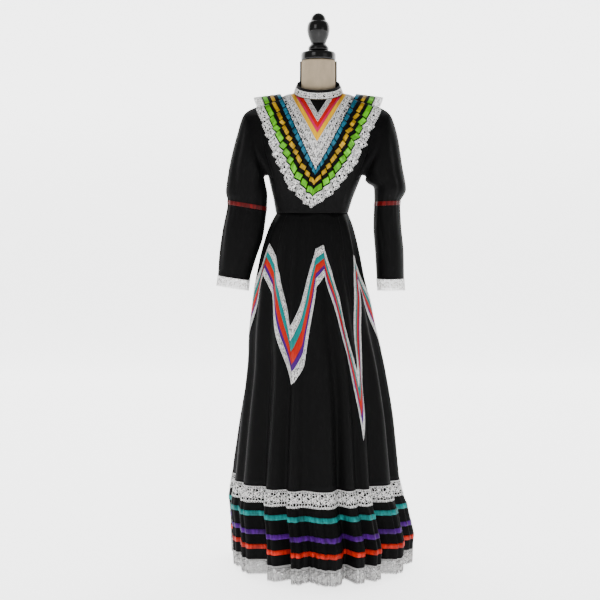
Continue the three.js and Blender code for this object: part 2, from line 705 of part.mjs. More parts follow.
// Point of the ruffle before it is pleated: share 0 is its gathered edge on the chest,
// share 1 its free edge.
function berthaPoint({ side, front, along }, share) {
  const line = V_LINES[V_LINES.length - 1];
  const tip = front ? line.tip : line.backTip;
  const attachZ = lerp(tip, shoulderHeight(line.reach), along);
  const attach = bodyPoint(side, line.reach * along, attachZ, front);
  const edge = tableRow(front ? BERTHA_FRONT : BERTHA_BACK, 'along', along);
  const sign = front ? -1 : 1;
  const lateral = lerp(line.reach * along, edge.side, share);
  const z = lerp(attachZ, edge.z, share);
  const clear = lerp(BERTHA_CLEAR_TOP, BERTHA_CLEAR_EDGE, share);
  const straight = lerp(Math.abs(attach.y) + clear * superCosine(along), edge.out, share);
  const onBody = Math.abs(bodyPoint(side, lateral, z, front).y);
  const overChest = lateral < halfWidth(z) ? onBody + clear * (1 - along ** 4) : 0;
  const drift = front ? BERTHA_TIP_DRIFT * share * (1 - along) ** 3 : 0;
  const x = tableRow(BODY, 'z', attachZ).shift + side * lateral + drift;
  const lift = BERTHA_SHOULDER_LIFT * along ** 3;
  return new THREE.Vector3(x, sign * Math.max(straight, overChest), z + lift);
}

function berthaSheet() {
  const shares = [0];
  for (const { from, to } of BERTHA_RIBBONS) shares.push(from, to);
  shares.push(BERTHA_LACE_FROM, 1);
  const columns = berthaColumns();
  const plain = new Sheet(shares.map((share) => columns.map((column) => berthaPoint(column, share))));
  const rows = plain.rows.map((row, rowIndex) => row.map((point, columnIndex) => {
    const normal = plain.normals[plain.ids[rowIndex][columnIndex]];
    const depth = BERTHA_PLEAT_DEPTH * shares[rowIndex] * columns[columnIndex].crest;
    return point.clone().addScaledVector(normal, depth);
  }));
  return { sheet: new Sheet(rows), shares };
}

function makeBertha() {
  const { sheet, shares } = berthaSheet();
  const back = 2 * BERTHA_PLEATS_BACK;
  const front = 2 * BERTHA_PLEATS_FRONT;
  const edgeRow = shares.length - 1;
  const stops = [0, back, back + front, back + 2 * front, 2 * back + 2 * front];
  const names = ['bertha_back_right', 'bertha_front_right', 'bertha_front_left', 'bertha_back_left'];
  names.forEach((name, arm) => {
    panel(name, sheet, sheet.cells(0, edgeRow - 1, stops[arm], stops[arm + 1]));
  });
  for (const { name, from, finish } of BERTHA_RIBBONS) {
    const row = shares.indexOf(from);
    trim(name, sheet, sheet.cells(row, row + 1), finish);
  }
  wall('bertha_lace', sheet, sheet.cells(edgeRow - 1, edgeRow), 'lace', -TRIM, 0);
}

// ---------------------------------------------------------------- sleeves

// The armhole's edge, in the order of a sleeve ring: from the front round by the
// wearer's left to the back.
function armholeLoop(side) {
  const last = LAST;
  const edge = ARMHOLE_COLUMN;
  const half = (front) => [
    [ARMPIT_ROW, last - 1, front],
    [ARMPIT_ROW, edge, front],
    [ARMHOLE_ROW, edge, front],
    [SHOULDER_ROW, edge, front],
    [SHOULDER_ROW, last - 1, front],
  ];
  const upFront = half(true);
  const downBack = half(false).reverse();
  const loop = [[ARMPIT_ROW, last, true], ...upFront, [SHOULDER_ROW, last, true], ...downBack];
  const points = loop.map(([row, column, front]) => bodicePoint(row, { side, front, column }));
  for (const point of points) point.x += side * ARMHOLE_GAP;
  return side > 0 ? points : points.reverse();
}

// A ring of a sleeve, starting at the armpit on the left and one step past it on the right.
function sleeveRing(side, ring, count) {
  const middleX = (side * (ring.outer + ring.inner)) / 2;
  const middleZ = (ring.outerZ + ring.innerZ) / 2;
  const points = [];
  for (let step = 0; step < count; step += 1) {
    const turn = Math.PI - (2 * Math.PI * (step + (side > 0 ? 0 : 1))) / count;
    const across = Math.cos(turn);
    const x = middleX + (side * across * (ring.outer - ring.inner)) / 2;
    const z = middleZ + (across * (ring.outerZ - ring.innerZ)) / 2;
    points.push(new THREE.Vector3(x, -side * Math.sin(turn) * ring.depth, z));
  }
  return points;
}

function makeSleeve({ name, side, rings }) {
  const armhole = armholeLoop(side);
  const rows = [armhole, ...rings.map((ring) => sleeveRing(side, ring, armhole.length))];
  const sheet = new Sheet(rows, { closed: true });
  panel(`sleeve_${name}_upper`, sheet, sheet.cells(0, ELBOW_ROW + 1));
  panel(`sleeve_${name}_lower`, sheet, sheet.cells(ELBOW_ROW + 1, CUFF_ROW));
  trim(`sleeve_${name}_ribbon`, sheet, sheet.cells(ELBOW_ROW, ELBOW_ROW + 1), 'red');
  wall(`cuff_lace_${name}`, sheet, sheet.cells(CUFF_ROW, CUFF_ROW + 1), 'lace', -TRIM, 0);
}

// ---------------------------------------------------------------- skirt and flounce

// Columns round the skirt: every crest and valley, and a point between them in front.
function skirtColumns() {
  const stops = [];
  for (const { crest, valley, depth, reach } of FOLDS) {
    stops.push({ at: crest, depth: 0, reach }, { at: valley, depth, reach: 0 });
  }
  const columns = [];
  stops.forEach((stop, index) => {
    columns.push(stop);
    const next = stops[(index + 1) % stops.length];
    const nextAt = index + 1 < stops.length ? next.at : next.at + 360;
    const between = (stop.at + nextAt) / 2;
    if (between > FINE_FROM && between < FINE_TO) {
      columns.push({
        at: between,
        depth: (stop.depth + next.depth) / 2,
        reach: (stop.reach + next.reach) / 2,
      });
    }
  });
  return columns;
}

const SKIRT_COLUMNS = skirtColumns();

function skirtPoint({ at, depth, reach }, z) {
  const row = tableRow(SKIRT, 'z', z);
  const angle = THREE.MathUtils.degToRad(at);
  const ahead = Math.cos(angle);
  const out = (reach * THREE.MathUtils.clamp((REACH_TOP - z) / (REACH_TOP - REACH_FULL), 0, 1)) / row.half;
  const scale = 1 + out - (depth * row.fold) / row.half;
  const y = -ahead * (ahead > 0 ? row.front : row.back) * scale;
  return new THREE.Vector3(row.shift + Math.sin(angle) * row.half * scale, y, z);
}

function zigzagHeight({ at }, share) {
  const turned = at < ZIGZAG[0].at ? at + 360 : at;
  const { top, tall } = tableRow(ZIGZAG, 'at', turned);
  return top - tall * share;
}

function columnIndex(at) {
  const turned = at > FOLDS[FOLDS.length - 1].valley ? at - 360 : at;
  return SKIRT_COLUMNS.findIndex((column) => Math.abs(column.at - turned) < 0.01);
}

function panelCells(sheet, rowFrom, rowTo, { from, to }) {
  const first = columnIndex(from);
  const past = columnIndex(to);
  const last = past > first ? past : past + SKIRT_COLUMNS.length;
  return sheet.cells(rowFrom, rowTo, first, last);
}

function makeSkirt() {
  const ring = (height) => SKIRT_COLUMNS.map((column) => skirtPoint(column, height(column)));
  const edges = [0, ...ZIGZAG_STRIPS.map(({ to }) => to)];
  const sheet = new Sheet([
    ring(() => WAIST_Z),
    ring((column) => lerp(WAIST_Z, zigzagHeight(column, 0), HIP_ROW)),
    ...edges.map((share) => ring((column) => zigzagHeight(column, share))),
    ring((column) => lerp(zigzagHeight(column, 1), SEAM_Z, LOW_ROW)),
    ring(() => SEAM_Z),
  ], { closed: true });
  for (const part of SKIRT_PANELS) {
    panel(`skirt_${part.name}`, sheet, panelCells(sheet, 0, sheet.rows.length - 1, part));
  }
  ZIGZAG_STRIPS.forEach(({ name, finish }, strip) => {
    trim(name, sheet, sheet.cells(strip + 2, strip + 3), finish);
  });
}

function makeFlounce() {
  const heights = [SEAM_Z, FLOUNCE_LACE_END];
  for (const { top, bottom } of FLOUNCE_RIBBONS) heights.push(top, bottom);
  heights.push(FLOUNCE_END, HEM_Z);
  const sheet = new Sheet(
    heights.map((z) => SKIRT_COLUMNS.map((column) => skirtPoint(column, z))),
    { closed: true },
  );
  const endRow = heights.indexOf(FLOUNCE_END);
  for (const part of SKIRT_PANELS) {
    panel(`flounce_${part.name}`, sheet, panelCells(sheet, 0, endRow, part));
    const laceCells = panelCells(sheet, endRow, endRow + 1, part);
    wall(`hem_lace_${part.name}`, sheet, laceCells, 'lace', -TRIM, 0);
  }
  trim('flounce_lace', sheet, sheet.cells(0, 1), 'lace');
  for (const { name, top, finish } of FLOUNCE_RIBBONS) {
    const row = heights.indexOf(top);
    trim(name, sheet, sheet.cells(row, row + 1), finish);
  }
}

// ---------------------------------------------------------------- dress form

const FORM_SIDES = 24;

function makeTorso() {
  const positions = [];
  for (const { z, half, front, back, shift, power } of FORM) {
    for (let step = 0; step < FORM_SIDES; step += 1) {
      const angle = (2 * Math.PI * step) / FORM_SIDES;
      const across = Math.sin(angle);
      const ahead = Math.cos(angle);
      const x = Math.sign(across) * Math.abs(across) ** (2 / power) * half;
      const y = -Math.sign(ahead) * Math.abs(ahead) ** (2 / power) * (ahead > 0 ? front : back);
      positions.push(shift + x, y, z);
    }
  }
  const index = [];
  for (let row = 0; row + 1 < FORM.length; row += 1) {
    for (let step = 0; step < FORM_SIDES; step += 1) {
      const a = row * FORM_SIDES + step;
      const b = row * FORM_SIDES + ((step + 1) % FORM_SIDES);
      index.push(a, b, b + FORM_SIDES, a, b + FORM_SIDES, a + FORM_SIDES);
    }
  }
  const top = (FORM.length - 1) * FORM_SIDES;
  for (let step = 1; step + 1 < FORM_SIDES; step += 1) {
    index.push(0, step + 1, step, top, top + step, top + step + 1);
  }
  const geometry = new THREE.BufferGeometry();
  geometry.setAttribute('position', new THREE.Float32BufferAttribute(positions, 3));
  geometry.setIndex(index);
  addMesh('form_torso', geometry, 'linen');
}

function turned(name, outline, sides, finish) {
  const profile = outline.map(({ r, z }) => new THREE.Vector2(r, z));
  const geometry = new THREE.LatheGeometry(profile, sides);
  geometry.rotateX(Math.PI / 2);
  return addMesh(name, geometry, finish);
}

function makeForm() {
  makeTorso();
  turned('form_neck_cap', CAP_OUTLINE, 24, 'lacquer').position.set(NECK_X, 0, TORSO_TOP);
  turned('form_finial', FINIAL_OUTLINE, 20, 'lacquer').position.set(NECK_X, 0, CAP_TOP);
  turned('form_base', BASE_OUTLINE, 32, 'lacquer');
  const poleFrom = BASE_THICK + SEAM_GAP;
  const poleTall = TORSO_BOTTOM - SEAM_GAP - poleFrom;
  const pole = new THREE.CylinderGeometry(POLE_RADIUS, POLE_RADIUS, poleTall, 16);
  pole.rotateX(Math.PI / 2);
  addMesh('form_pole', pole, 'steel').position.z = poleFrom + poleTall / 2;
}

// ---------------------------------------------------------------- zip pull

// The pull lies on the back seam, just under the neckline.
function makeZipPull() {
  const { width, tall, thick, drop } = ZIP_PULL;
  const outline = new THREE.Shape();
  outline.moveTo(-width / 2, 0);
  outline.lineTo(width / 2, 0);
  outline.lineTo(width / 2 - 1, tall);
  outline.lineTo(1 - width / 2, tall);
  const geometry = new THREE.ExtrudeGeometry(outline, { depth: thick, bevelEnabled: false });
  geometry.rotateX(Math.PI / 2);
  const centre = { side: 1, front: false, column: 0 };
  const neck = bodicePoint(0, centre);
  const up = neck.clone().sub(bodicePoint(V_LINES.length - 1, centre)).setX(0).normalize();
  const outwards = new THREE.Vector3(0, up.z, -up.y);
  const pull = addMesh('zip_pull', geometry, 'steel');
  pull.position.copy(neck).addScaledVector(up, -drop - tall);
  pull.position.addScaledVector(outwards, thick + SEAM_GAP);
  pull.rotation.x = Math.asin(-up.y);
}

makeBodice();
makeChestBands();
makeCollar();
makeBertha();
SLEEVES.forEach(makeSleeve);
makeSkirt();
makeFlounce();
makeForm();
makeZipPull();

export default dress;
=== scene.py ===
# Jalisco dance dress on its limbless dress form: cloth, ribbon and lace.
#
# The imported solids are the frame. Sizes in the tables are in millimetres in that frame:
# +Z up, the front of the dress faces -Y and the wearer's left is +X. A cloth piece is a
# grid of points whose rows run down and whose columns run to the right, seen from
# outside, so trims reuse the points of the cloth that they lie on, moved outwards.

import math

import bmesh
import bpy
import numpy as np
from bpy.props import FloatProperty, FloatVectorProperty, IntProperty, PointerProperty
from bpy.types import Operator, Panel, PropertyGroup
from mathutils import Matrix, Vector


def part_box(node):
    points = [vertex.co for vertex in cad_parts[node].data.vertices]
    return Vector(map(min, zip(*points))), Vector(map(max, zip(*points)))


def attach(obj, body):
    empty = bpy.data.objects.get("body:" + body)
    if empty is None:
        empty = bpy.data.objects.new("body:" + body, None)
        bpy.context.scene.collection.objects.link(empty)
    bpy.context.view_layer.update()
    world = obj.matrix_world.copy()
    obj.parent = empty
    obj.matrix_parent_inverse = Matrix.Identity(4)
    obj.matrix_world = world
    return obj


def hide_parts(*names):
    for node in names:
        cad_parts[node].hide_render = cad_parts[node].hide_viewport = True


bl_info = {
    "name": "Jalisco dress",
    "version": (1, 0, 0),
    "blender": (4, 5, 0),
    "location": "3D View > Sidebar > Dress",
    "description": "Builds a ribboned folk dance dress on its dress form",
    "category": "Object",
}

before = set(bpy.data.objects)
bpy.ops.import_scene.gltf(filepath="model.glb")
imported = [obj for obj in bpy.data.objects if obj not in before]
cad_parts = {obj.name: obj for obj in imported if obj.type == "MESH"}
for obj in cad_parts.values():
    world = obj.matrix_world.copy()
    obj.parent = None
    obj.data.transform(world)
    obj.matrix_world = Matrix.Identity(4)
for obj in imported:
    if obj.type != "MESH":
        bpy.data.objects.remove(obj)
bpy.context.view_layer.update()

MM = 0.001
ROOT = "root"
SEED = 7

# ---------------------------------------------------------------- tables of sizes, in mm


def smooth(stops, values, at):
    """Monotone cubic through values at the rising stops, held level past the ends."""
    stops = np.asarray(stops, float)
    values = np.asarray(values, float)
    at = np.clip(at, stops[0], stops[-1])
    step = np.diff(stops).reshape((-1,) + (1,) * (values.ndim - 1))
    slope = np.diff(values, axis=0) / step
    product = slope[:-1] * slope[1:]
    total = np.where(product > 0, slope[:-1] + slope[1:], 1.0)
    tangent = np.concatenate([slope[:1], np.where(product > 0, 2 * product / total, 0.0), slope[-1:]])
    low = np.clip(np.searchsorted(stops, at, side="right") - 1, 0, len(stops) - 2)
    width = step[low]
    part = ((at - stops[low]).reshape(low.shape + (1,) * (values.ndim - 1))) / width
    cube, square = part**3, part**2
    return (
        (2 * cube - 3 * square + 1) * values[low]
        + (cube - 2 * square + part) * width * tangent[low]
        + (3 * square - 2 * cube) * values[low + 1]
        + (cube - square) * width * tangent[low + 1]
    )


class Table:
    """Rows of sizes with named columns, the first being the one that it is read by."""

    def __init__(self, columns, *rows):
        data = np.array(rows, float)
        data = data[np.argsort(data[:, 0])]
        self.stops = data[:, 0]
        self.columns = dict(zip(columns.split(), data.T))

    def read(self, column, at):
        return smooth(self.stops, self.columns[column], np.asarray(at, float))


WAIST_Z = 1094
SEAM_Z = 269
FLOUNCE_LACE_END = 224
FLOUNCE_END = 56
HEM_Z = 13

NECK_X = 6
NECK_HALF = 74
NECK_Z = 1459
NECK_FRONT_DROP, NECK_BACK_RISE = 26, 25
NECK_FRONT_DEPTH, NECK_BACK_DEPTH = 55, 60
SHOULDER_FROM = 1410

COLLAR_HALF = 64.5
COLLAR_DEPTH = 60
COLLAR_SIDE_Z, COLLAR_FRONT_Z, COLLAR_BACK_Z = 1486, 1461, 1510
COLLAR_RIM = 0.3
COLLAR_LIFT = 2.4

TORSO_TOP = 1556
TORSO_BOTTOM = 850
CAP_TOP = 1583
POLE_RADIUS = 15
BASE_RADIUS = 160
BASE_THICK = 12

SECTION_POWER = 2.2

BODY = Table(
    "z half front back shift",
    (1094, 111, 90, 86, -13),
    (1140, 122, 98, 88, -10),
    (1213, 145, 112, 95, -4),
    (1300, 168, 121, 100, 0),
    (1360, 178, 106, 98, 2),
    (1410, 187, 74, 84, 4),
    (1434, 150, 62, 70, 5),
    (1450, 106, 57, 62, NECK_X),
    (NECK_Z, NECK_HALF, 55, 60, NECK_X),
)

# Torso of the form, with the squareness of each section.
FORM = Table(
    "z half front back shift power",
    (TORSO_BOTTOM, 116, 82, 86, -10, 2.2),
    (862, 128, 92, 96, -11, 2.2),
    (930, 134, 98, 102, -15, 2.2),
    (1000, 122, 92, 94, -16, 2.2),
    (1094, 101, 80, 76, -13, 2.2),
    (1140, 112, 88, 78, -10, 2.2),
    (1213, 133, 101, 85, -4, 2.2),
    (1300, 149, 109, 90, 0, 2.2),
    (1360, 156, 92, 86, 2, 2.2),
    (1400, 158, 60, 68, 4, 2),
    (1414, 150, 54, 64, 5, 1.6),
    (1434, 132, 46, 58, NECK_X, 1.2),
    (1444.8, 114, 46, 55, NECK_X, 1.1),
    (1456, 57, 38, 50, NECK_X, 1.6),
    (1476, 52, 47, 51, NECK_X, 2),
    (TORSO_TOP, 51.5, 50, 50, NECK_X, 2),
)
FORM_INSET = 1.5  # the cover lies this far inside its solid where the dress hides it

SKIRT = Table(
    "z half front back shift fold",
    (WAIST_Z, 111, 90, 86, -13, 1.5),
    (1054, 130, 102, 100, -16, 3),
    (981, 152, 118, 120, -19, 7),
    (906, 168, 130, 136, -20, 10),
    (832, 183, 142, 151, -16, 13),
    (757, 196, 152, 165, -13, 16),
    (607, 219, 169, 188, -1, 22),
    (456, 241, 184, 206, 2, 27),
    (342, 253, 195, 217, 2, 30),
    (SEAM_Z, 261, 202, 225, 2, 31),
    (FLOUNCE_LACE_END, 270, 213, 240, 3, 32),
    (191, 278, 223, 248, 7, 34),
    (145, 281, 242, 258, 14, 36),
    (96, 285, 264, 268, 20, 38),
    (FLOUNCE_END, 283, 270, 274, 19, 39),
    (HEM_Z, 281, 281, 278, 19, 40),
)

# Folds of the skirt, in degrees round from the front towards the wearer's left.
FOLDS = (  # crest, valley after it, depth of that valley, reach of the crest
    (-75, -66, 0.5, 0),
    (-57, -43.5, 0.9, 0),
    (-33, -23.6, 0.8, 0),
    (-17.5, -10, 0.7, 0),
    (6, 16, 1.0, 4),
    (22, 29, 0.6, 0),
    (34, 44, 0.9, 0),
    (57, 68, 0.8, 0),
    (80, 93, 0.8, 0),
    (108, 122, 0.9, 4),
    (137, 151, 1.0, 0),
    (166, 180, 0.9, 6),
    (195, 209, 1.0, 0),
    (224, 238, 0.9, 4),
    (253, 268, 1.0, 18),
)
REACH_TOP, REACH_FULL = 640, 304
FOOT_FOLD = 0.45  # how much deeper the cloth folds at the hem than its solid

# Soft creases between the folds: angle and height of each end, width in degrees, depth.
SKIRT_CREASES = (
    (-50, 1085, -52, 800, 3.2, 2.6),
    (-28, 1088, -27, 860, 2.6, 2.2),
    (-13, 1090, -14, 900, 2.4, 2.4),
    (-3, 1088, -2, 640, 2.8, 3.0),
    (12, 1090, 11, 880, 2.4, 2.4),
    (25, 1086, 26, 760, 2.6, 2.2),
    (39, 1088, 39, 560, 3.0, 2.8),
    (1, 620, 3, 290, 2.6, 3.4),
    (-38, 700, -37, 330, 2.6, 3.0),
    (51, 820, 52, 420, 3.2, 3.0),
    (64, 1080, 62, 860, 3.0, 2.4),
    (86, 900, 85, 500, 3.2, 3.2),
    (101, 1080, 103, 780, 3.4, 2.8),
    (116, 700, 115, 340, 3.0, 3.2),
    (131, 1086, 132, 820, 3.2, 2.6),
    (144, 820, 143, 420, 3.2, 3.2),
    (173, 1086, 172, 700, 3.2, 3.0),
    (187, 700, 188, 330, 3.0, 3.2),
    (202, 1084, 203, 820, 3.2, 2.6),
    (217, 860, 217, 420, 3.2, 3.0),
    (231, 1086, 230, 780, 3.2, 2.6),
    (247, 740, 246, 360, 3.0, 3.2),
    (261, 1080, 260, 760, 3.2, 2.8),
)

SKIRT_PANELS = (  # name, first and last angle
    ("front", -43.5, 44),
    ("side_left", 44, 93),
    ("back_side_left", 93, 151),
    ("back", 151, 209),
    ("back_side_right", 209, 268),
    ("side_right", 268, 316.5),
)

ZIGZAG = Table(
    "at top tall",
    (-92, 764, 220),
    (-57, 1003, 95),
    (-43.5, 965, 112),
    (-33, 912, 190),
    (-23.6, 800, 188),
    (-20.55, 755, 171),
    (-17.5, 770, 177),
    (-10, 828, 188),
    (6, 988, 112),
    (16, 999, 92),
    (22, 930, 128),
    (29, 845, 172),
    (34, 622, 206),
    (57, 968, 95),
    (68, 925, 115),
    (80, 840, 150),
    (93, 742, 190),
    (122, 980, 88),
    (151, 712, 190),
    (180, 980, 88),
    (209, 712, 190),
    (238, 980, 88),
    (268, 764, 220),
)
ZIGZAG_STRIPS = (  # name, share of the band's depth from and to, finish
    ("zigzag_lace_upper", 0, 0.24, "lace"),
    ("zigzag_teal", 0.24, 0.43, "teal"),
    ("zigzag_red", 0.43, 0.65, "orange_red"),
    ("zigzag_purple", 0.65, 0.78, "purple"),
    ("zigzag_lace_lower", 0.78, 1, "lace"),
)

FLOUNCE_RIBBONS = (  # name, height of the upper and lower edge, finish
    ("flounce_ribbon_teal", 199, 184, "teal"),
    ("flounce_ribbon_purple", 145, 131, "purple"),
    ("flounce_ribbon_red", 103, 89, "orange_red"),
)
GATHERS = 74  # small ripples of the gathered flounce, all round
GATHER_DEPTH = 5.6

# Columns of the bodice from the centre line to the side: share of the way, and where the
# neckline crosses that column, as a share of its half width.
QUARTER = Table(
    "share neck",
    (0, 0),
    (0.165, 0.338),
    (0.33, 0.581),
    (0.57, 0.797),
    (0.776, 0.96),
    (0.9, 0.985),
    (0.967, 0.997),
    (1, 1),
)
ARMHOLE_SHARE = 0.9
ARMHOLE_UPPER_SHARE = 0.967

V_LINES = (  # height of the tip in front and behind, its neckline column or its reach
    {"tip": 1390, "column": 0.165},
    {"tip": 1363, "column": 0.33},
    {"tip": 1345, "column": 0.57},
    {"tip": 1330, "column": 0.776},
    {"tip": 1305, "back": 1398, "reach": 87},
    {"tip": 1221, "back": 1315, "reach": 115},
)
SHOULDER_RING = {"front": 1170, "back": 1235, "edge": 163, "edge_z": 1340}
SHOULDER_UPPER, SHOULDER_UPPER_Z, SHOULDER_TIP = 170, 1390, 172
ARMHOLE_RING = {"front": 1152, "back": 1190, "edge": 152, "edge_z": 1272}
ARMPIT_RING = (1138, 1213)
MIDRIFF_RING = (1112, 1140)

BERTHA_FRONT = Table(
    "along side out z",
    (0, 0, 126, 1110),
    (0.2, 66, 119, 1166),
    (0.4, 103, 109, 1222),
    (0.55, 128, 99, 1268),
    (0.7, 150, 87, 1314),
    (0.85, 172, 68, 1364),
    (0.93, 187, 44, 1404),
    (1, 197, 0, 1436),
)
BERTHA_BACK = Table(
    "along side out z",
    (0, 0, 120, 1200),
    (0.25, 54, 114, 1236),
    (0.5, 102, 104, 1286),
    (0.7, 142, 90, 1330),
    (0.85, 172, 68, 1376),
    (0.93, 187, 46, 1410),
    (1, 197, 0, 1436),
)
BERTHA_PLEATS_FRONT, BERTHA_PLEATS_BACK = 12, 7
BERTHA_PLEAT_DEPTH = 5
BERTHA_TUCK = 0.09  # half width of the tuck between two pleats, as a share of a pleat
BERTHA_TUCK_DEPTH = (2.0, 7.5)  # at the seam and at the edge
BERTHA_STEP = 0.050  # how far a pleat is turned, as a share of the ruffle's depth
BERTHA_CLEAR_TOP, BERTHA_CLEAR_EDGE = 3.4, 12
BERTHA_SHOULDER_LIFT = 9
BERTHA_TIP_DRIFT = -14
BERTHA_LACE_FROM = 0.72
BERTHA_RIBBONS = (  # name, share of the ruffle's depth from and to, finish
    ("bertha_ribbon_blue", 0.02, 0.14, "blue"),
    ("bertha_ribbon_gold", 0.27, 0.40, "gold"),
    ("bertha_ribbon_lime", 0.53, 0.68, "lime"),
)

ARMHOLE_GAP = 1.2
SEAM_ALLOWANCE = 14  # of the sleeve head, turned in behind the bodice
ELBOW_ROW, CUFF_ROW = 5, 9  # rings of a sleeve, counted with the armhole as 0
SLEEVE_RINGS = {
    "left": (  # outer, its height, inner, its height, half depth
        (222, 1398, 152, 1204, 52),
        (247, 1336, 150, 1196, 60),
        (264, 1238, 157, 1186, 62),
        (276, 1168, 177, 1170, 61),
        (259, 1132, 179, 1129, 50),
        (258, 1119, 178, 1116, 50),
        (262, 1054, 176, 1054, 51),
        (270, 975, 182, 972, 50),
        (272, 893, 187, 892, 47),
        (275, 858, 190, 857, 48),
    ),
    "right": (
        (218, 1398, 160, 1204, 50),
        (245, 1325, 158, 1194, 56),
        (270, 1220, 155, 1180, 50),
        (278, 1160, 150, 1150, 44),
        (273, 1134, 152, 1114, 38),
        (273, 1121, 153, 1101, 38),
        (290, 1035, 163, 1025, 43),
        (300, 960, 186, 954, 40),
        (304, 903, 205, 888, 34),
        (308, 872, 209, 856, 35),
    ),
}
SIDES = {"left": 1, "right": -1}

# Soft creases of a sleeve: turn and ring of each end, width in turns, depth.
SLEEVE_CREASES = (
    (0.10, 1.2, 0.16, 4.4, 0.030, 4.0),
    (0.24, 0.6, 0.21, 3.8, 0.034, 3.4),
    (0.36, 1.6, 0.33, 4.6, 0.028, 3.6),
    (0.62, 1.0, 0.66, 4.2, 0.032, 3.8),
    (0.78, 1.5, 0.74, 4.7, 0.030, 3.4),
    (0.92, 0.8, 0.90, 3.6, 0.030, 3.0),
    (0.13, 6.2, 0.20, 8.4, 0.030, 2.6),
    (0.30, 6.6, 0.24, 9.4, 0.034, 2.4),
    (0.55, 6.2, 0.60, 8.8, 0.034, 2.6),
    (0.84, 6.6, 0.78, 9.2, 0.034, 2.4),
)

FINIAL = (  # radius and height above the neck cap
    (0, 0.3), (27, 0.3), (31.5, 6), (31.5, 13), (26, 20), (22, 24), (24, 30), (31, 46),
    (35, 64), (33.5, 80), (29, 89), (24, 92), (23, 96), (20, 106), (12, 114.5), (0, 118),
)
NECK_CAP = ((0, 0.3), (51, 0.3), (53, 4), (53, 20), (50, 25.5), (44, 27), (0, 27))
BASE = (
    (0, 0), (BASE_RADIUS, 0), (BASE_RADIUS, 5), (BASE_RADIUS - 8, 9), (40, BASE_THICK), (0, BASE_THICK),
)

# Lines in the look of the cloth: piping down the neck of the form, and the zip behind.
NECK_PIPING_RADIUS = 2.9
ZIP_FROM, ZIP_TO = 1478, 1100
ZIP_TOOTH = 3.2
STEPS_PER_QUARTER = 34  # columns of the bodice between its centre line and its side
STEPS_PER_RING = 7
SKIRT_STEP = 1.0  # degrees
FLOUNCE_STEP = 0.5
PLEAT_STEPS = 20

# ---------------------------------------------------------------- settings


def colour_setting(name, description, red, green, blue):
    return FloatVectorProperty(
        name=name, description=description, subtype="COLOR", size=3, min=0, max=1, default=(red, green, blue)
    )


def length_setting(name, description, metres):
    return FloatProperty(name=name, description=description, default=metres, unit="LENGTH")


class DressSizes(PropertyGroup):
    cloth: length_setting("Cloth", "Thickness of the black cloth", 0.0012)
    trim: length_setting("Trim", "Thickness of ribbon and lace", 0.0006)
    lift: length_setting("Lift", "How far a trim lies off its cloth", 0.0004)
    lace_mesh: length_setting("Lace mesh", "Width of one opening in the lace", 0.0092)
    lace_repeat: length_setting("Lace repeat", "Length of one flower of the lace", 0.030)
    stitch: length_setting("Stitch", "Length of one stitch", 0.0026)
    stitch_spacing: length_setting("Stitch spacing", "From one stitch to the next", 0.0058)
    stitch_radius: length_setting("Thread", "Radius of the sewing thread", 0.00028)
    picot: length_setting("Picot", "Radius of the loops along the lace's edge", 0.0017)
    picot_spacing: length_setting("Picot spacing", "From one loop to the next", 0.0058)
    seed: IntProperty(name="Seed", description="Seed of the uneven pleats", default=SEED)


class DressColours(PropertyGroup):
    cloth: colour_setting("Cloth", "Black cloth", 0.0012, 0.0012, 0.0013)
    lace: colour_setting("Lace", "White lace", 0.80, 0.79, 0.78)
    red: colour_setting("Red", "Red ribbon", 0.42, 0.001, 0.001)
    elbow: colour_setting("Elbow", "Dark red ribbon round the elbows", 0.055, 0.0002, 0.0004)
    pink: colour_setting("Pink", "Pink ribbon", 0.45, 0.004, 0.07)
    yellow: colour_setting("Yellow", "Yellow ribbon", 0.62, 0.32, 0.0)
    blue: colour_setting("Blue", "Steel blue ribbon", 0.008, 0.075, 0.12)
    gold: colour_setting("Gold", "Gold ribbon", 0.27, 0.155, 0.0)
    lime: colour_setting("Lime", "Lime ribbon", 0.06, 0.27, 0.002)
    teal: colour_setting("Teal", "Teal ribbon", 0.001, 0.12, 0.115)
    purple: colour_setting("Purple", "Purple ribbon", 0.036, 0.001, 0.10)
    orange_red: colour_setting("Orange red", "Orange red ribbon", 0.30, 0.006, 0.0)
    linen: colour_setting("Linen", "Cover of the form", 0.30, 0.24, 0.165)
    lacquer: colour_setting("Lacquer", "Turned wood", 0.0015, 0.0015, 0.0015)
    enamel: colour_setting("Enamel", "Steel of the pole and the zip", 0.02, 0.02, 0.021)
    thread: colour_setting("Thread", "Sewing thread", 0.01, 0.01, 0.011)


def sizes():
    return bpy.context.scene.dress_sizes


def colours():
    return bpy.context.scene.dress_colours


# ---------------------------------------------------------------- shader fields


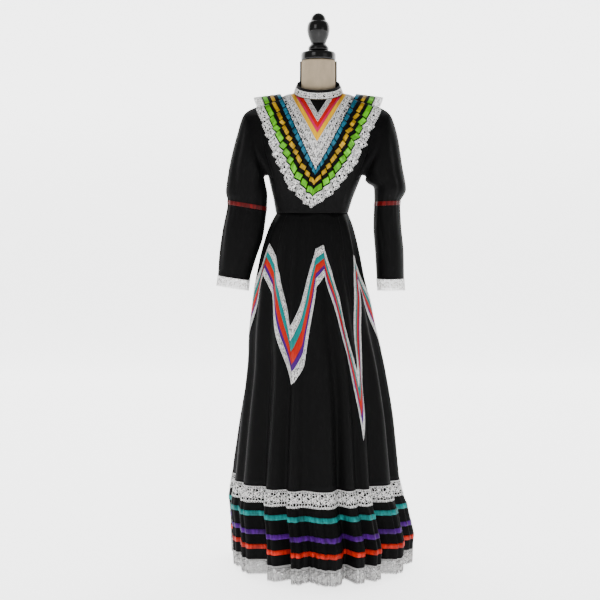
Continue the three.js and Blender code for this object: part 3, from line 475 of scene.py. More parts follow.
class Field:
    """A value in a node tree, so that patterns are written as sums."""

    def __init__(self, tree, socket):
        self.tree = tree
        self.socket = socket

    def math(self, operation, *others):
        node = self.tree.nodes.new("ShaderNodeMath")
        node.operation = operation
        for place, value in enumerate((self, *others)):
            if isinstance(value, Field):
                self.tree.links.new(value.socket, node.inputs[place])
            else:
                node.inputs[place].default_value = value
        return Field(self.tree, node.outputs[0])

    def __add__(self, other):
        return self.math("ADD", other)

    def __sub__(self, other):
        return self.math("SUBTRACT", other)

    def __mul__(self, other):
        return self.math("MULTIPLY", other)

    def __truediv__(self, other):
        return self.math("DIVIDE", other)

    def __gt__(self, other):
        return self.math("GREATER_THAN", other)

    def __lt__(self, other):
        return self.math("LESS_THAN", other)

    def sin(self):
        return self.math("SINE")

    def cos(self):
        return self.math("COSINE")

    def fraction(self):
        return self.math("FRACT")

    def absolute(self):
        return self.math("ABSOLUTE")

    def root(self):
        return self.math("SQRT")

    def upto(self, other):
        return self.math("MINIMUM", other)

    def atleast(self, other):
        return self.math("MAXIMUM", other)

    def soft_step(self, low, high):
        """0 below low and 1 above high."""
        node = self.tree.nodes.new("ShaderNodeMapRange")
        node.interpolation_type = "SMOOTHSTEP"
        for place, value in ((0, self), (1, low), (2, high)):
            if isinstance(value, Field):
                self.tree.links.new(value.socket, node.inputs[place])
            else:
                node.inputs[place].default_value = value
        return Field(self.tree, node.outputs[0])


def new_group(name, inputs, outputs):
    """A shader group with float or vector inputs and float outputs."""
    tree = bpy.data.node_groups.new(name, "ShaderNodeTree")
    for label, default in inputs:
        kind = "NodeSocketVector" if default is None else "NodeSocketFloat"
        socket = tree.interface.new_socket(name=label, in_out="INPUT", socket_type=kind)
        if default is not None:
            socket.default_value = default
    for label in outputs:
        tree.interface.new_socket(name=label, in_out="OUTPUT", socket_type="NodeSocketFloat")
    entry = tree.nodes.new("NodeGroupInput")
    exit_node = tree.nodes.new("NodeGroupOutput")
    fields = {label: Field(tree, entry.outputs[label]) for label, _ in inputs}
    return tree, fields, exit_node


def filled(tree, exit_node, **fields):
    """The group, with its outputs linked."""
    for label, field in fields.items():
        tree.links.new(field.socket, exit_node.inputs[label])
    return tree


def group_once(build):
    """The group that build makes, made at its first use."""
    found = bpy.data.node_groups.get(build.__name__)
    return found or build(build.__name__)


def split_vector(field):
    node = field.tree.nodes.new("ShaderNodeSeparateXYZ")
    field.tree.links.new(field.socket, node.inputs[0])
    return [Field(field.tree, socket) for socket in node.outputs]


def joined_vector(across, down):
    node = across.tree.nodes.new("ShaderNodeCombineXYZ")
    for place, field in enumerate((across, down)):
        across.tree.links.new(field.socket, node.inputs[place])
    return Field(across.tree, node.outputs[0])


def noise(vector, scale, detail, roughness=0.5):
    """Soft noise from 0 to 1, read at a vector field."""
    return texture(
        vector.tree, "ShaderNodeTexNoise", vector, "Fac", scale=scale, detail=detail, roughness=roughness
    )


def texture(tree, kind, vector, output, **settings):
    """Output of a texture node read at a vector field."""
    node = tree.nodes.new(kind)
    for key, value in settings.items():
        if hasattr(node, key):
            setattr(node, key, value)
        else:
            node.inputs[key.replace("_", " ").title()].default_value = value
    tree.links.new(vector.socket, node.inputs["Vector"])
    return Field(tree, node.outputs[output])


def weave(name):
    """Over and under of a plain weave at a thread pitch, and slubs in its tone."""
    wanted = [("Vector", None), ("Pitch", 0.0005), ("Slub", 0.5)]
    tree, given, out = new_group(name, wanted, ["Height", "Tone"])
    across, down, _ = split_vector(given["Vector"])
    across = across / given["Pitch"] * math.pi
    down = down / given["Pitch"] * math.pi
    warp, weft = across.sin().absolute(), down.sin().absolute()
    over = (across * 0.5).sin() * (down * 0.5).sin() > 0.0
    height = warp * over + weft * (over * -1.0 + 1.0)
    coarse = noise(given["Vector"], 900.0, 3.0, 0.6)
    patches = noise(given["Vector"], 22.0, 4.0, 0.55)
    tone = (coarse - 0.5) * given["Slub"] + (patches - 0.5) * 0.5 + 1.0
    return filled(tree, out, Height=height, Tone=tone)


def ribbon_ribs(name):
    """Fine ribs across a satin ribbon, the firmer selvage at each of its edges, and painted glints and
    painted shade of its folds in its tone.
    """
    wanted = [("Vector", None), ("Width", 0.015), ("Glint", 0.5)]
    tree, given, out = new_group(name, wanted, ["Height", "Tone"])
    along, down, _ = split_vector(given["Vector"])
    ribs = (along * (2 * math.pi / 0.0007)).sin() * 0.5 + 0.5
    from_edge = down.upto(given["Width"] - down)
    edge = from_edge.soft_step(0.0003, 0.0012) * -1.0 + 1.0
    stretched = joined_vector(along, down * 0.3)
    # Painted highlight: bright patches along the satin stand for glints of light on it, as strong as the
    # Glint input.
    painted_glint = noise(stretched, 95.0, 3.0, 0.55)
    threads = (down * (2 * math.pi / 0.0004)).sin() * 0.03
    # Painted shade: long darker stretches along the ribbon stand for its folds turned away from the light,
    # scaled with the Glint input.
    folds = noise(stretched, 24.0, 1.0)
    tone = ((painted_glint - 0.48) * given["Glint"] + threads + 1.0 - edge * 0.22).atleast(0.1)
    tone = tone * ((folds - 0.5) * given["Glint"] * 0.6 + 1.0).atleast(0.15)
    return filled(tree, out, Height=ribs * 0.35 + edge, Tone=tone)


def cells_of(along, down, size, randomness):
    """Distance to the nearest wall between the cells of a net, in cells."""
    return texture(
        along.tree, "ShaderNodeTexVoronoi", joined_vector(along / size, down / size), "Distance",
        feature="DISTANCE_TO_EDGE", voronoi_dimensions="2D", scale=1.0, randomness=randomness,
    )


def lace_flowers(name):
    """Threads of a machine lace: a row of flowers and leaves on a net between two bands."""
    wanted = [("Vector", None), ("Width", 0.03), ("Repeat", 0.03), ("Mesh", 0.0092), ("Scallop", 0.0025),
              ("Fill", 0.08), ("Open", 0.6), ("Contrast", 0.5)]
    tree, given, out = new_group(name, wanted, ["Alpha", "Height", "Tone"])
    along, down, _ = split_vector(given["Vector"])
    width, repeat = given["Width"], given["Repeat"]
    middle = down - width * 0.5

    def flower(shift, centre, size, petals):
        """How far inside its petals a point lies, and its distance from the middle."""
        x = ((along / repeat + shift).fraction() - 0.5) * repeat
        y = middle - width * centre
        distance = (x * x + y * y).root()
        angle = y.math("ARCTAN2", x)
        edge = ((angle * (petals / 2)).cos().absolute() * 0.5 + 0.5) * width.upto(0.034) * size
        return (distance / edge) * -1.0 + 1.0, distance / (width.upto(0.034) * size)

    petals, from_heart = flower(0.0, 0.03, 0.24, 5)
    small, from_small = flower(0.5, 0.16, 0.15, 4)
    bud, from_bud = flower(0.5, -0.24, 0.13, 3)
    leaf_x = ((along / repeat + 0.25).fraction() - 0.5).absolute() * repeat
    stem = (leaf_x * 0.7 - middle.absolute() * 1.0 - width * 0.03).absolute() < 0.0010
    veins = (from_heart * 9.0).sin() * 0.5 + 0.5
    solid = (petals > 0.0) * (from_heart > 0.26) * (veins > 0.22)
    solid = solid.atleast((small > 0.0) * (from_small > 0.3)).atleast((bud > 0.0) * (from_bud > 0.3))
    walls = cells_of(along, down, given["Mesh"], 0.7) < 0.072
    net = cells_of(along, down, given["Mesh"] * 0.26, 0.3) < given["Fill"]
    net = net * (noise(given["Vector"], 150.0, 1.0) > given["Open"])
    from_edge = down.upto(width - down)
    holes = ((along * (2 * math.pi / 0.0062)).sin() > 0.1) * (from_edge > 0.0011) * (from_edge < 0.0032)
    band = (from_edge < 0.0040) * (holes * -1.0 + 1.0)
    wave = (along * (math.pi / 0.0085)).sin().absolute() * given["Scallop"]
    inside = (width - down) > (given["Scallop"] - wave)
    alpha = solid.atleast(net).atleast(walls).atleast(band).atleast(stem) * inside
    height = (petals.atleast(0.0) * 0.6 + veins * 0.4) * solid + (band + stem) * 0.6 + walls * 0.5 + net * 0.2
    cloud = noise(given["Vector"], 240.0, 2.0)
    thick = solid.atleast(walls).atleast(band).atleast(stem)
    tone = ((cloud - 0.5) * 0.3 + 0.86 + solid * 0.12) * ((thick - 1.0) * given["Contrast"] + 1.0)
    return filled(tree, out, Alpha=alpha, Height=height, Tone=tone)


# ---------------------------------------------------------------- materials


def new_material(name):
    material = bpy.data.materials.new(name)
    material.use_nodes = True
    tree = material.node_tree
    return material, tree, tree.nodes["Principled BSDF"]


def set_sockets(shader, **values):
    for key, value in values.items():
        shader.inputs[key.replace("_", " ")].default_value = value


def coordinates(tree, source):
    return Field(tree, tree.nodes.new("ShaderNodeTexCoord").outputs[source])


def use_group(tree, build, **values):
    """Outputs of a pattern laid out in the metres of the cloth."""
    node = tree.nodes.new("ShaderNodeGroup")
    node.node_tree = group_once(build)
    tree.links.new(coordinates(tree, "UV").socket, node.inputs["Vector"])
    for key, value in values.items():
        node.inputs[key.title()].default_value = value
    return {socket.name: Field(tree, socket) for socket in node.outputs}


def toned(tree, shader, colour, tone):
    """The base colour, made lighter and darker by a tone near 1."""
    node = tree.nodes.new("ShaderNodeMix")
    node.data_type = "RGBA"
    node.blend_type = "MULTIPLY"
    node.inputs[0].default_value = 1.0
    node.inputs[6].default_value = (*colour, 1.0)
    tree.links.new(tone.socket, node.inputs[7])
    tree.links.new(node.outputs[2], shader.inputs["Base Color"])


def bumped(tree, shader, height, strength, distance):
    node = tree.nodes.new("ShaderNodeBump")
    node.inputs["Strength"].default_value = strength
    node.inputs["Distance"].default_value = distance
    tree.links.new(height.socket, node.inputs["Height"])
    tree.links.new(node.outputs["Normal"], shader.inputs["Normal"])


def cloth_material():
    """Matt black cotton of the dress."""
    material, tree, shader = new_material("black_cloth")
    threads = use_group(tree, weave, pitch=0.0005, slub=0.9)
    toned(tree, shader, colours().cloth, threads["Tone"])
    set_sockets(shader, Roughness=0.6, Sheen_Weight=0.006, Sheen_Roughness=0.5, Specular_IOR_Level=0.055)
    bumped(tree, shader, threads["Height"], 0.35, 0.0002)
    return material


def ribbon_material(name, finish, width, glint):
    """Satin ribbon of a width in metres."""
    material, tree, shader = new_material(name)
    ribs = use_group(tree, ribbon_ribs, width=width, glint=glint)
    toned(tree, shader, getattr(colours(), finish), ribs["Tone"])
    set_sockets(shader, Roughness=0.34, Anisotropic=0.4, Specular_IOR_Level=0.13)
    bumped(tree, shader, ribs["Height"], 0.4, 0.00025)
    return material


# Lace over cloth, and the closer lace that hangs free at the hem, greyed as painted shade from inside the
# skirt: shares of the set mesh and colour (the hem lace's smaller colour share is painted shade), and how
# much of the net is filled, left open and dimmed.
OPEN_LACE = {"mesh": 1, "colour": 1, "fill": 0.08, "open": 0.6, "contrast": 0.5}
CLOSE_LACE = {"mesh": 0.62, "colour": 0.8, "fill": 0.30, "open": 0.3, "contrast": 0.78}


def lace_material(name, width, scallop, close):
    """Lace of a width in metres, with a scalloped edge of a depth in metres."""
    kind = CLOSE_LACE if close else OPEN_LACE
    material, tree, shader = new_material(name)
    pattern = use_group(
        tree, lace_flowers, width=width, repeat=sizes().lace_repeat, mesh=sizes().lace_mesh * kind["mesh"],
        scallop=scallop, fill=kind["fill"], open=kind["open"], contrast=kind["contrast"],
    )
    # For the hem lace this dims the white as painted shade from inside the skirt.
    colour = [value * kind["colour"] for value in colours().lace]
    toned(tree, shader, colour, pattern["Tone"])
    set_sockets(shader, Roughness=0.7, Specular_IOR_Level=0.15)
    tree.links.new(pattern["Alpha"].socket, shader.inputs["Alpha"])
    bumped(tree, shader, pattern["Height"], 0.9, 0.0008)
    return material


def linen_material():
    """Unbleached linen over the padding of the form."""
    material, tree, shader = new_material("form_linen")
    threads = use_group(tree, weave, pitch=0.0013, slub=0.55)
    toned(tree, shader, colours().linen, threads["Tone"])
    set_sockets(shader, Roughness=0.88, Specular_IOR_Level=0.12)
    bumped(tree, shader, threads["Height"], 0.7, 0.0005)
    return material


def lacquer_material():
    """Sprayed black lacquer over turned wood, a little uneven and dusty."""
    material, tree, shader = new_material("black_lacquer")
    ripple = noise(coordinates(tree, "Object"), 60.0, 2.0)
    dust = noise(coordinates(tree, "Object"), 900.0, 4.0, 0.7)
    toned(tree, shader, colours().lacquer, dust.soft_step(0.55, 0.8) * 1.5 + 0.8)
    tree.links.new((ripple * 0.12 + dust * 0.1 + 0.06).socket, shader.inputs["Roughness"])
    set_sockets(shader, Coat_Weight=0.22, Coat_Roughness=0.05, Specular_IOR_Level=0.12)
    bumped(tree, shader, ripple, 0.12, 0.0006)
    return material


def enamel_material():
    """Black enamel baked on steel."""
    material, tree, shader = new_material("black_enamel")
    grain = noise(coordinates(tree, "Object"), 1400.0, 2.0)
    toned(tree, shader, colours().enamel, grain * 0.5 + 0.75)
    tree.links.new((grain * 0.2 + 0.3).socket, shader.inputs["Roughness"])
    set_sockets(shader, Metallic=0.55)
    bumped(tree, shader, grain, 0.15, 0.0002)
    return material


def thread_material(name, colour):
    """Twisted sewing thread."""
    material, tree, shader = new_material(name)
    fibre = noise(coordinates(tree, "Object"), 2500.0, 2.0)
    toned(tree, shader, colour, fibre * 0.7 + 0.65)
    set_sockets(shader, Roughness=0.7, Specular_IOR_Level=0.15)
    bumped(tree, shader, fibre, 0.3, 0.0001)
    return material


def material_once(name, make, *given):
    return bpy.data.materials.get(name) or make(*given)


def black_cloth():
    return material_once("black_cloth", cloth_material)


def linen():
    return material_once("form_linen", linen_material)


def lacquer():
    return material_once("black_lacquer", lacquer_material)


def enamel():
    return material_once("black_enamel", enamel_material)


# Strength of the painted glints and painted fold shade on flat and on gathered satin.
FLAT_GLINT, GATHERED_GLINT = 0.6, 3.4


def satin(finish, width, strong_painted_glints=False):
    """The ribbon of a finish, with its width in metres; gathered ribbon gets stronger painted glints and
    painted shade of its folds.
    """
    name = f"satin_{finish}_{round(width / MM)}mm{'_gathered' if strong_painted_glints else ''}"
    glint = GATHERED_GLINT if strong_painted_glints else FLAT_GLINT
    return material_once(name, ribbon_material, name, finish, width, glint)


def lace(width, scallop, close):
    """The lace of a width and scallop, both in metres."""
    name = f"lace_{round(width / MM)}mm_{round(scallop * 10000)}{'_close' if close else ''}"
    return material_once(name, lace_material, name, width, scallop, close)


# ---------------------------------------------------------------- grids of points


def lerp(a, b, t):
    return a + (b - a) * t


def grid_normals(points):
    """Unit normals of a grid, with points that fall together sharing one."""
    down_right = points[1:, 1:] - points[:-1, :-1]
    up_right = points[:-1, 1:] - points[1:, :-1]
    faces = np.cross(down_right, up_right)
    total = np.zeros_like(points)
    for rows in (slice(0, -1), slice(1, None)):
        for columns in (slice(0, -1), slice(1, None)):
            total[rows, columns] += faces
    flat = np.round(points.reshape(-1, 3), 2)
    _, ids = np.unique(flat, axis=0, return_inverse=True)
    ids = ids.ravel()
    shared = np.zeros((ids.max() + 1, 3))
    np.add.at(shared, ids, total.reshape(-1, 3))
    length = np.linalg.norm(shared, axis=1, keepdims=True)
    return (shared / np.maximum(length, 1e-9))[ids].reshape(points.shape)


def moved_out(points, distance):
    """The grid, moved outwards by a distance in metres."""
    return points + grid_normals(points) * (distance / MM)


def running_length(points, axis):
    step = np.linalg.norm(np.diff(points, axis=axis), axis=-1)
    start = np.zeros_like(np.take(step, [0], axis=axis))
    return np.concatenate([start, np.cumsum(step, axis=axis)], axis=axis)


def cloth_uv(points):
    """Metres along the middle row and down each column."""
    along = running_length(points, 1)[points.shape[0] // 2]
    down = running_length(points, 0)
    return np.stack([np.broadcast_to(along, down.shape), down], axis=-1) * MM


def collection():
    found = bpy.data.collections.get("dress")
    if not found:
        found = bpy.data.collections.new("dress")
        bpy.context.scene.collection.children.link(found)
    return found


def link_mesh(name, mesh, material):
    piece = bpy.data.objects.new(name, mesh)
    collection().objects.link(piece)
    mesh.materials.append(material)
    return piece


def grid_piece(name, points, material, thickness=0.0, holes=None, uv=None):
    """A sheet over a grid, its outer face on the points, with its wall behind it."""
    rows, columns = points.shape[:2]
    uv = cloth_uv(points) if uv is None else uv
    at = np.arange(rows * columns).reshape(rows, columns)
    cells = np.stack([at[:-1, :-1], at[1:, :-1], at[1:, 1:], at[:-1, 1:]], axis=-1)
    keep = np.ones(cells.shape[:2], bool) if holes is None else ~holes
    faces = cells[keep]
    mesh = bpy.data.meshes.new(name)
    mesh.from_pydata((points.reshape(-1, 3) * MM).tolist(), [], faces.tolist())
    layer = mesh.uv_layers.new(name="UVMap")
    flat = uv.reshape(-1, 2)
    layer.data.foreach_set("uv", flat[faces.ravel()].astype(np.float32).ravel())
    build = bmesh.new()
    build.from_mesh(mesh)
    bmesh.ops.remove_doubles(build, verts=build.verts, dist=0.00001)
    loose = [vertex for vertex in build.verts if not vertex.link_faces]
    bmesh.ops.delete(build, geom=loose, context="VERTS")
    build.to_mesh(mesh)
    build.free()
    mesh.shade_smooth()
    piece = link_mesh(name, mesh, material)
    if thickness:
        wall = piece.modifiers.new("wall", "SOLIDIFY")
        wall.thickness = thickness
        wall.offset = -1
        wall.use_even_offset = False
    return piece


def place(piece, finish, *nodes):
    """The calls that every piece gets."""
    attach(piece, ROOT)
    if nodes:
        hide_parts(*nodes)
    return piece


def declare_sheet(points, share=1.0, hem=False):
    """Works out the cut of a sheet: its longest row or its hem, its area laid flat, and the length that fits
    both; none of it is kept or returned.
    """
    rows = running_length(points, 1)[:, -1] * MM
    width = rows[-1] if hem else rows.max()
    length = running_length(points, 0)[-1].max() * MM
    down_right = points[1:, 1:] - points[:-1, :-1]
    up_right = points[:-1, 1:] - points[1:, :-1]
    area = 0.5 * np.linalg.norm(np.cross(down_right, up_right), axis=-1).sum() * MM * MM * share
    length = max(min(length, area / width * (3.2 if hem else 1.6)), area / width * 1.001, 0.0101)


def cloth_piece(name, points, node, hem=False):
    """A sheet of the dress's own cloth in the place of a node."""
    piece = grid_piece(name, points, black_cloth(), sizes().cloth)
    place(piece, "cloth", node)
    declare_sheet(points, hem=hem)


def trim_piece(
    name, points, finish, nodes, held="laid", lift=None, scallop=0.0, holes=None, close=False
):
    """A ribbon or lace on the points of the cloth under it."""
    lift = sizes().lift if lift is None else lift
    thickness = sizes().trim
    laid = moved_out(points, lift + thickness)
    width = float(np.median(running_length(laid, 0)[-1])) * MM
    if finish == "lace":
        material = lace(round(width, 3), scallop, close)
    else:
        material = satin(finish, round(width, 3), held == "gathered")
    uv = cloth_uv(laid)
    depth = uv[-1:, :, 1]
    uv[..., 1] *= width / np.maximum(depth, 0.2 * width)
    piece = grid_piece(name, laid, material, thickness, holes, uv)
    place(piece, finish, *nodes)
    share = 1.0 if holes is None else 1.0 - holes.mean()
    declare_sheet(laid, share)


def creases(rows, across, down):
    """Depth of soft creases, each along a line and fading at its ends."""
    total = np.zeros(np.broadcast(across, down).shape)
    for across_from, down_from, across_to, down_to, width, depth in rows:
        part = np.clip((down - down_from) / (down_to - down_from), 0, 1)
        middle = lerp(across_from, across_to, part)
        total = total + depth * np.sin(np.pi * part) ** 0.7 * np.exp(-(((across - middle) / width) ** 2))
    return total


# ---------------------------------------------------------------- torso of the dress


def super_cosine(share, power=SECTION_POWER):
    return np.clip(1 - np.abs(share) ** power, 0, None) ** (1 / power)


def body_depth(lateral, z, front):
    """Signed y of the torso at a distance from its middle and a height."""
    share = np.minimum(1, lateral / BODY.read("half", z))
    depth = -BODY.read("front", z) if front else BODY.read("back", z)
    return depth * super_cosine(share)


QUARTERS = ((-1, False), (-1, True), (1, True), (1, False))  # side, and whether in front


def all_round(parts):
    """Quarters, each from the centre line to the side, joined into one row round the dress."""
    turned = [
        part if (side < 0) != front else part[..., ::-1, :] for (side, front), part in zip(QUARTERS, parts)
    ]
    return np.concatenate([turned[0], *(part[..., 1:, :] for part in turned[1:])], axis=-2)


SHOULDER_LINE = np.linspace(NECK_Z, SHOULDER_FROM, 200)
SHOULDER_HALF = BODY.read("half", SHOULDER_LINE)


def shoulder_height(lateral):
    return np.interp(lateral, SHOULDER_HALF, SHOULDER_LINE)


def neck_ring(share, front):
    part = QUARTER.read("neck", share)
    turn = np.sqrt(np.clip(1 - part**2, 0, 1))
    z = NECK_Z - NECK_FRONT_DROP * turn if front else NECK_Z + NECK_BACK_RISE * turn
    y = -NECK_FRONT_DEPTH * turn if front else NECK_BACK_DEPTH * turn
    return NECK_HALF * part, y, z


def v_ring(line, share, front):
    """A V line across the chest: straight from its tip to the neckline or the shoulder."""
    if "reach" in line:
        tip = line["tip"] if front else line["back"]
        lateral = line["reach"] * share
        z = lerp(tip, shoulder_height(line["reach"]), share)
        return lateral, body_depth(lateral, z, front), z
    if not front:
        return neck_ring(share, front)
    top_lateral, _, top_z = neck_ring(np.array(line["column"]), front)
    part = np.minimum(share / line["column"], 1)
    lateral, z = top_lateral * part, lerp(line["tip"], top_z, part)
    neck_lateral, neck_y, neck_z = neck_ring(share, front)
    on_neck = share >= line["column"]
    return (
        np.where(on_neck, neck_lateral, lateral),
        np.where(on_neck, neck_y, body_depth(lateral, z, front)),
        np.where(on_neck, neck_z, z),
    )


def straight_ring(ring, share, front):
    part = np.minimum(1, share / ARMHOLE_SHARE)
    lateral = ring["edge"] * part
    z = lerp(ring["front"] if front else ring["back"], ring["edge_z"], part)
    return lateral, z


def shoulder_ring(share, front):
    lateral, z = straight_ring(SHOULDER_RING, share, front)
    stops = (ARMHOLE_SHARE, ARMHOLE_UPPER_SHARE, 1)
    past = share > ARMHOLE_SHARE
    over = np.interp(share, stops, (SHOULDER_RING["edge"], SHOULDER_UPPER, SHOULDER_TIP))
    lateral = np.where(past, over, lateral)
    top = float(shoulder_height(SHOULDER_TIP))
    z = np.where(past, np.interp(share, stops, (SHOULDER_RING["edge_z"], SHOULDER_UPPER_Z, top)), z)
    return lateral, body_depth(lateral, z, front), z


def armhole_ring(share, front):
    lateral, z = straight_ring(ARMHOLE_RING, share, front)
    return lateral, body_depth(lateral, z, front), z


def level_ring(centre_z, edge_z, share, front):
    z = lerp(centre_z, edge_z, share**2)
    lateral = BODY.read("half", z) * share
    return lateral, body_depth(lateral, z, front), z


RINGS = (
    neck_ring,
    *(lambda share, front, line=line: v_ring(line, share, front) for line in V_LINES),
    shoulder_ring,
    armhole_ring,
    lambda share, front: level_ring(*ARMPIT_RING, share, front),
    lambda share, front: level_ring(*MIDRIFF_RING, share, front),
    lambda share, front: level_ring(WAIST_Z, WAIST_Z, share, front),
)
LACE_RING = len(V_LINES) - 1  # the wide lace starts at this V line's ring
SHOULDER_RING_AT = len(V_LINES) + 1
ARMHOLE_RING_AT = SHOULDER_RING_AT + 1
ARMPIT_RING_AT = ARMHOLE_RING_AT + 1


def ring_depths(ring, share, front):
    """y of a ring; near the neck it is read smoothly from the bodice's own columns."""
    lateral, y, z = ring(share, front)
    if RINGS.index(ring) < LACE_RING:
        stops = QUARTER.stops
        _, known, _ = ring(stops, front)
        mirrored = np.concatenate([-stops[:0:-1], stops])
        y = smooth(mirrored, np.concatenate([known[:0:-1], known]), share)
    return lateral, y, z


def quarter_shares():
    """Shares of the columns of a quarter, with one at each column of the bodice's table."""
    shares = np.linspace(0, 1, STEPS_PER_QUARTER)
    shares = np.union1d(np.round(shares, 4), QUARTER.stops)
    gaps = np.diff(shares)
    close = np.concatenate([[False], gaps < 0.008]) & ~np.isin(shares, QUARTER.stops)
    return shares[~close]


def torso_quarter(side, front):
    """Rings by columns of one quarter of the bodice, from the centre line to the side."""
    shares = quarter_shares()
    rings = [ring_depths(ring, shares, front) for ring in RINGS]
    coarse = np.array([np.stack(ring, axis=-1) for ring in rings])
    rows = np.linspace(0, len(RINGS) - 1, (len(RINGS) - 1) * STEPS_PER_RING + 1)
    low = np.minimum(rows.astype(int), len(RINGS) - 2)
    part = (rows - low)[:, None]
    lateral = lerp(coarse[low, :, 0], coarse[low + 1, :, 0], part)
    z = lerp(coarse[low, :, 2], coarse[low + 1, :, 2], part)
    y = smooth(np.arange(len(RINGS)), coarse[..., 1], rows)
    shift = BODY.read("shift", z)
    return np.stack([shift + side * lateral, y, z], axis=-1)


BODICE_CREASES = (  # lateral and height of each end, width, depth; mirrored
    (60, 1175, 78, 1100, 7, 2.2),
    (96, 1215, 74, 1120, 8, 2.4),
    (36, 1150, 40, 1098, 6, 1.6),
    (110, 1190, 96, 1100, 7, 1.8),
)


def torso_loop():
    """The bodice all round: back right, front right, front left, back left."""
    loop = all_round([torso_quarter(side, front) for side, front in QUARTERS])
    lateral = np.abs(loop[..., 0] - BODY.read("shift", loop[..., 2]))
    dent = creases(BODICE_CREASES, lateral, loop[..., 2])
    return loop - grid_normals(loop) * dent[..., None]


def loop_columns():
    """Places in the loop of its four quarters' ends."""
    step = len(quarter_shares()) - 1
    return [step * quarter for quarter in range(5)]


def ring_rows(first, last):
    return slice(first * STEPS_PER_RING, last * STEPS_PER_RING + 1)


def armhole_cells(loop):
    """Cells of the loop that the armholes take."""
    shares = quarter_shares()
    inner = int(np.flatnonzero(shares == ARMHOLE_SHARE)[0])
    span = len(shares) - 1 - inner
    holes = np.zeros((loop.shape[0] - 1, loop.shape[1] - 1), bool)
    for place_of_side in (loop_columns()[1], loop_columns()[3]):
        rows = slice(SHOULDER_RING_AT * STEPS_PER_RING, ARMPIT_RING_AT * STEPS_PER_RING)
        holes[rows, place_of_side - span:place_of_side + span] = True
    return holes


class DRESS_OT_bodice(Operator):
    """Front and two back panels of the bodice, down to the waist"""

    bl_idname = "dress.bodice"
    bl_label = "Bodice"

    def execute(self, context):
        loop = torso_loop()
        holes = armhole_cells(loop)
        start, right, _, left, end = loop_columns()
        panels = (
            ("bodice_front_cloth", "bodice_front", right, left),
            ("bodice_back_right_cloth", "bodice_back_right", start, right),
            ("bodice_back_left_cloth", "bodice_back_left", left, end),
        )
        for name, node, first, last in panels:
            part = loop[:, first:last + 1]
            piece = grid_piece(name, part, black_cloth(), sizes().cloth, holes[:, first:last])
            place(piece, "cloth", node)
            declare_sheet(part, share=0.93)
        return {"FINISHED"}


class DRESS_OT_chest_trim(Operator):
    """Lace and satin in nested Vs on the chest, and the wide lace over the shoulders"""

    bl_idname = "dress.chest_trim"
    bl_label = "Chest trim"

    def execute(self, context):
        loop = torso_loop()
        _, right, centre, left, _ = loop_columns()
        shares = quarter_shares()
        bands = (
            ("chest_lace_narrow_band", "chest_lace_narrow", 1, "lace", 0.33),
            ("chest_red_band", "chest_ribbon_red", 2, "red", 0.57),
            ("chest_pink_band", "chest_ribbon_pink", 3, "pink", 0.776),
            ("chest_yellow_band", "chest_ribbon_yellow", 4, "yellow", 1),
        )
        for name, node, ring, finish, upto in bands:
            reach = int(np.searchsorted(shares, upto - 1e-6))
            part = loop[ring_rows(ring, ring + 1), centre - reach:centre + reach + 1]
            trim_piece(name, part, finish, [node])
        rows = ring_rows(LACE_RING, LACE_RING + 1)
        middle = rows.start + (STEPS_PER_RING + 1) // 2
        outer = loop[middle - 1:rows.stop + 2]
        trim_piece("chest_lace_outer", outer, "lace", ["chest_lace_wide"], scallop=0.0015)
        inner = loop[rows.start:middle + 1]
        lift = sizes().lift * 2 + sizes().trim
        trim_piece("chest_lace_inner", inner, "lace", ["chest_lace_wide"], lift=lift,
                   scallop=0.0015)
        return {"FINISHED"}


# ---------------------------------------------------------------- stand collar


def collar_grid(rows):
    """The stand collar, from its free edge to the neckline: a row for each share."""
    shares = quarter_shares()
    parts = []
    for side, front in QUARTERS:
        base_lateral, base_y, base_z = neck_ring(shares, front)
        part = QUARTER.read("neck", shares)
        turn = np.sqrt(np.clip(1 - part**2, 0, 1))
        top_z = lerp(COLLAR_SIDE_Z, COLLAR_FRONT_Z if front else COLLAR_BACK_Z, turn)
        top_y = COLLAR_DEPTH * turn * (-1 if front else 1)
        top = np.stack([NECK_X + side * COLLAR_HALF * part, top_y, top_z], axis=-1)
        base = np.stack([NECK_X + side * base_lateral, base_y, base_z + COLLAR_LIFT], axis=-1)
        parts.append(lerp(top[None], base[None], rows[:, None, None]))
    return all_round(parts)


class DRESS_OT_collar(Operator):
    """Stand collar with its padded rim and the lace round it"""

    bl_idname = "dress.collar"
    bl_label = "Collar"

    def execute(self, context):
        rows = np.linspace(0, 1, 13)
        grid = collar_grid(rows)
        swell = 1.1 * np.exp(-((rows / 0.10) ** 2))[:, None, None]
        grid = grid + grid_normals(grid) * swell
        band = grid_piece("collar_band", grid, black_cloth(), sizes().cloth * 1.4)
        place(band, "cloth", "collar")
        declare_sheet(grid)
        lace_rows = np.linspace(COLLAR_RIM, 1.0, 9)
        trim_piece("collar_lace_band", collar_grid(lace_rows), "lace", ["collar_lace"],
                   lift=0.0009, scallop=0.001)
        return {"FINISHED"}


# ---------------------------------------------------------------- bertha ruffle


def bertha_pleats(pleats, rng):
    """Place in the pleats of an arm for each column, uneven in width."""
    count = np.linspace(0, pleats, pleats * PLEAT_STEPS + 1)
    knots = rng.uniform(-0.2, 0.2, pleats + 1)
    knots[0] = knots[-1] = 0
    warp = np.interp(count, np.arange(pleats + 1), knots)
    which = np.minimum(count.astype(int), pleats - 1)
    return count, (count + warp) / pleats, count - which, which


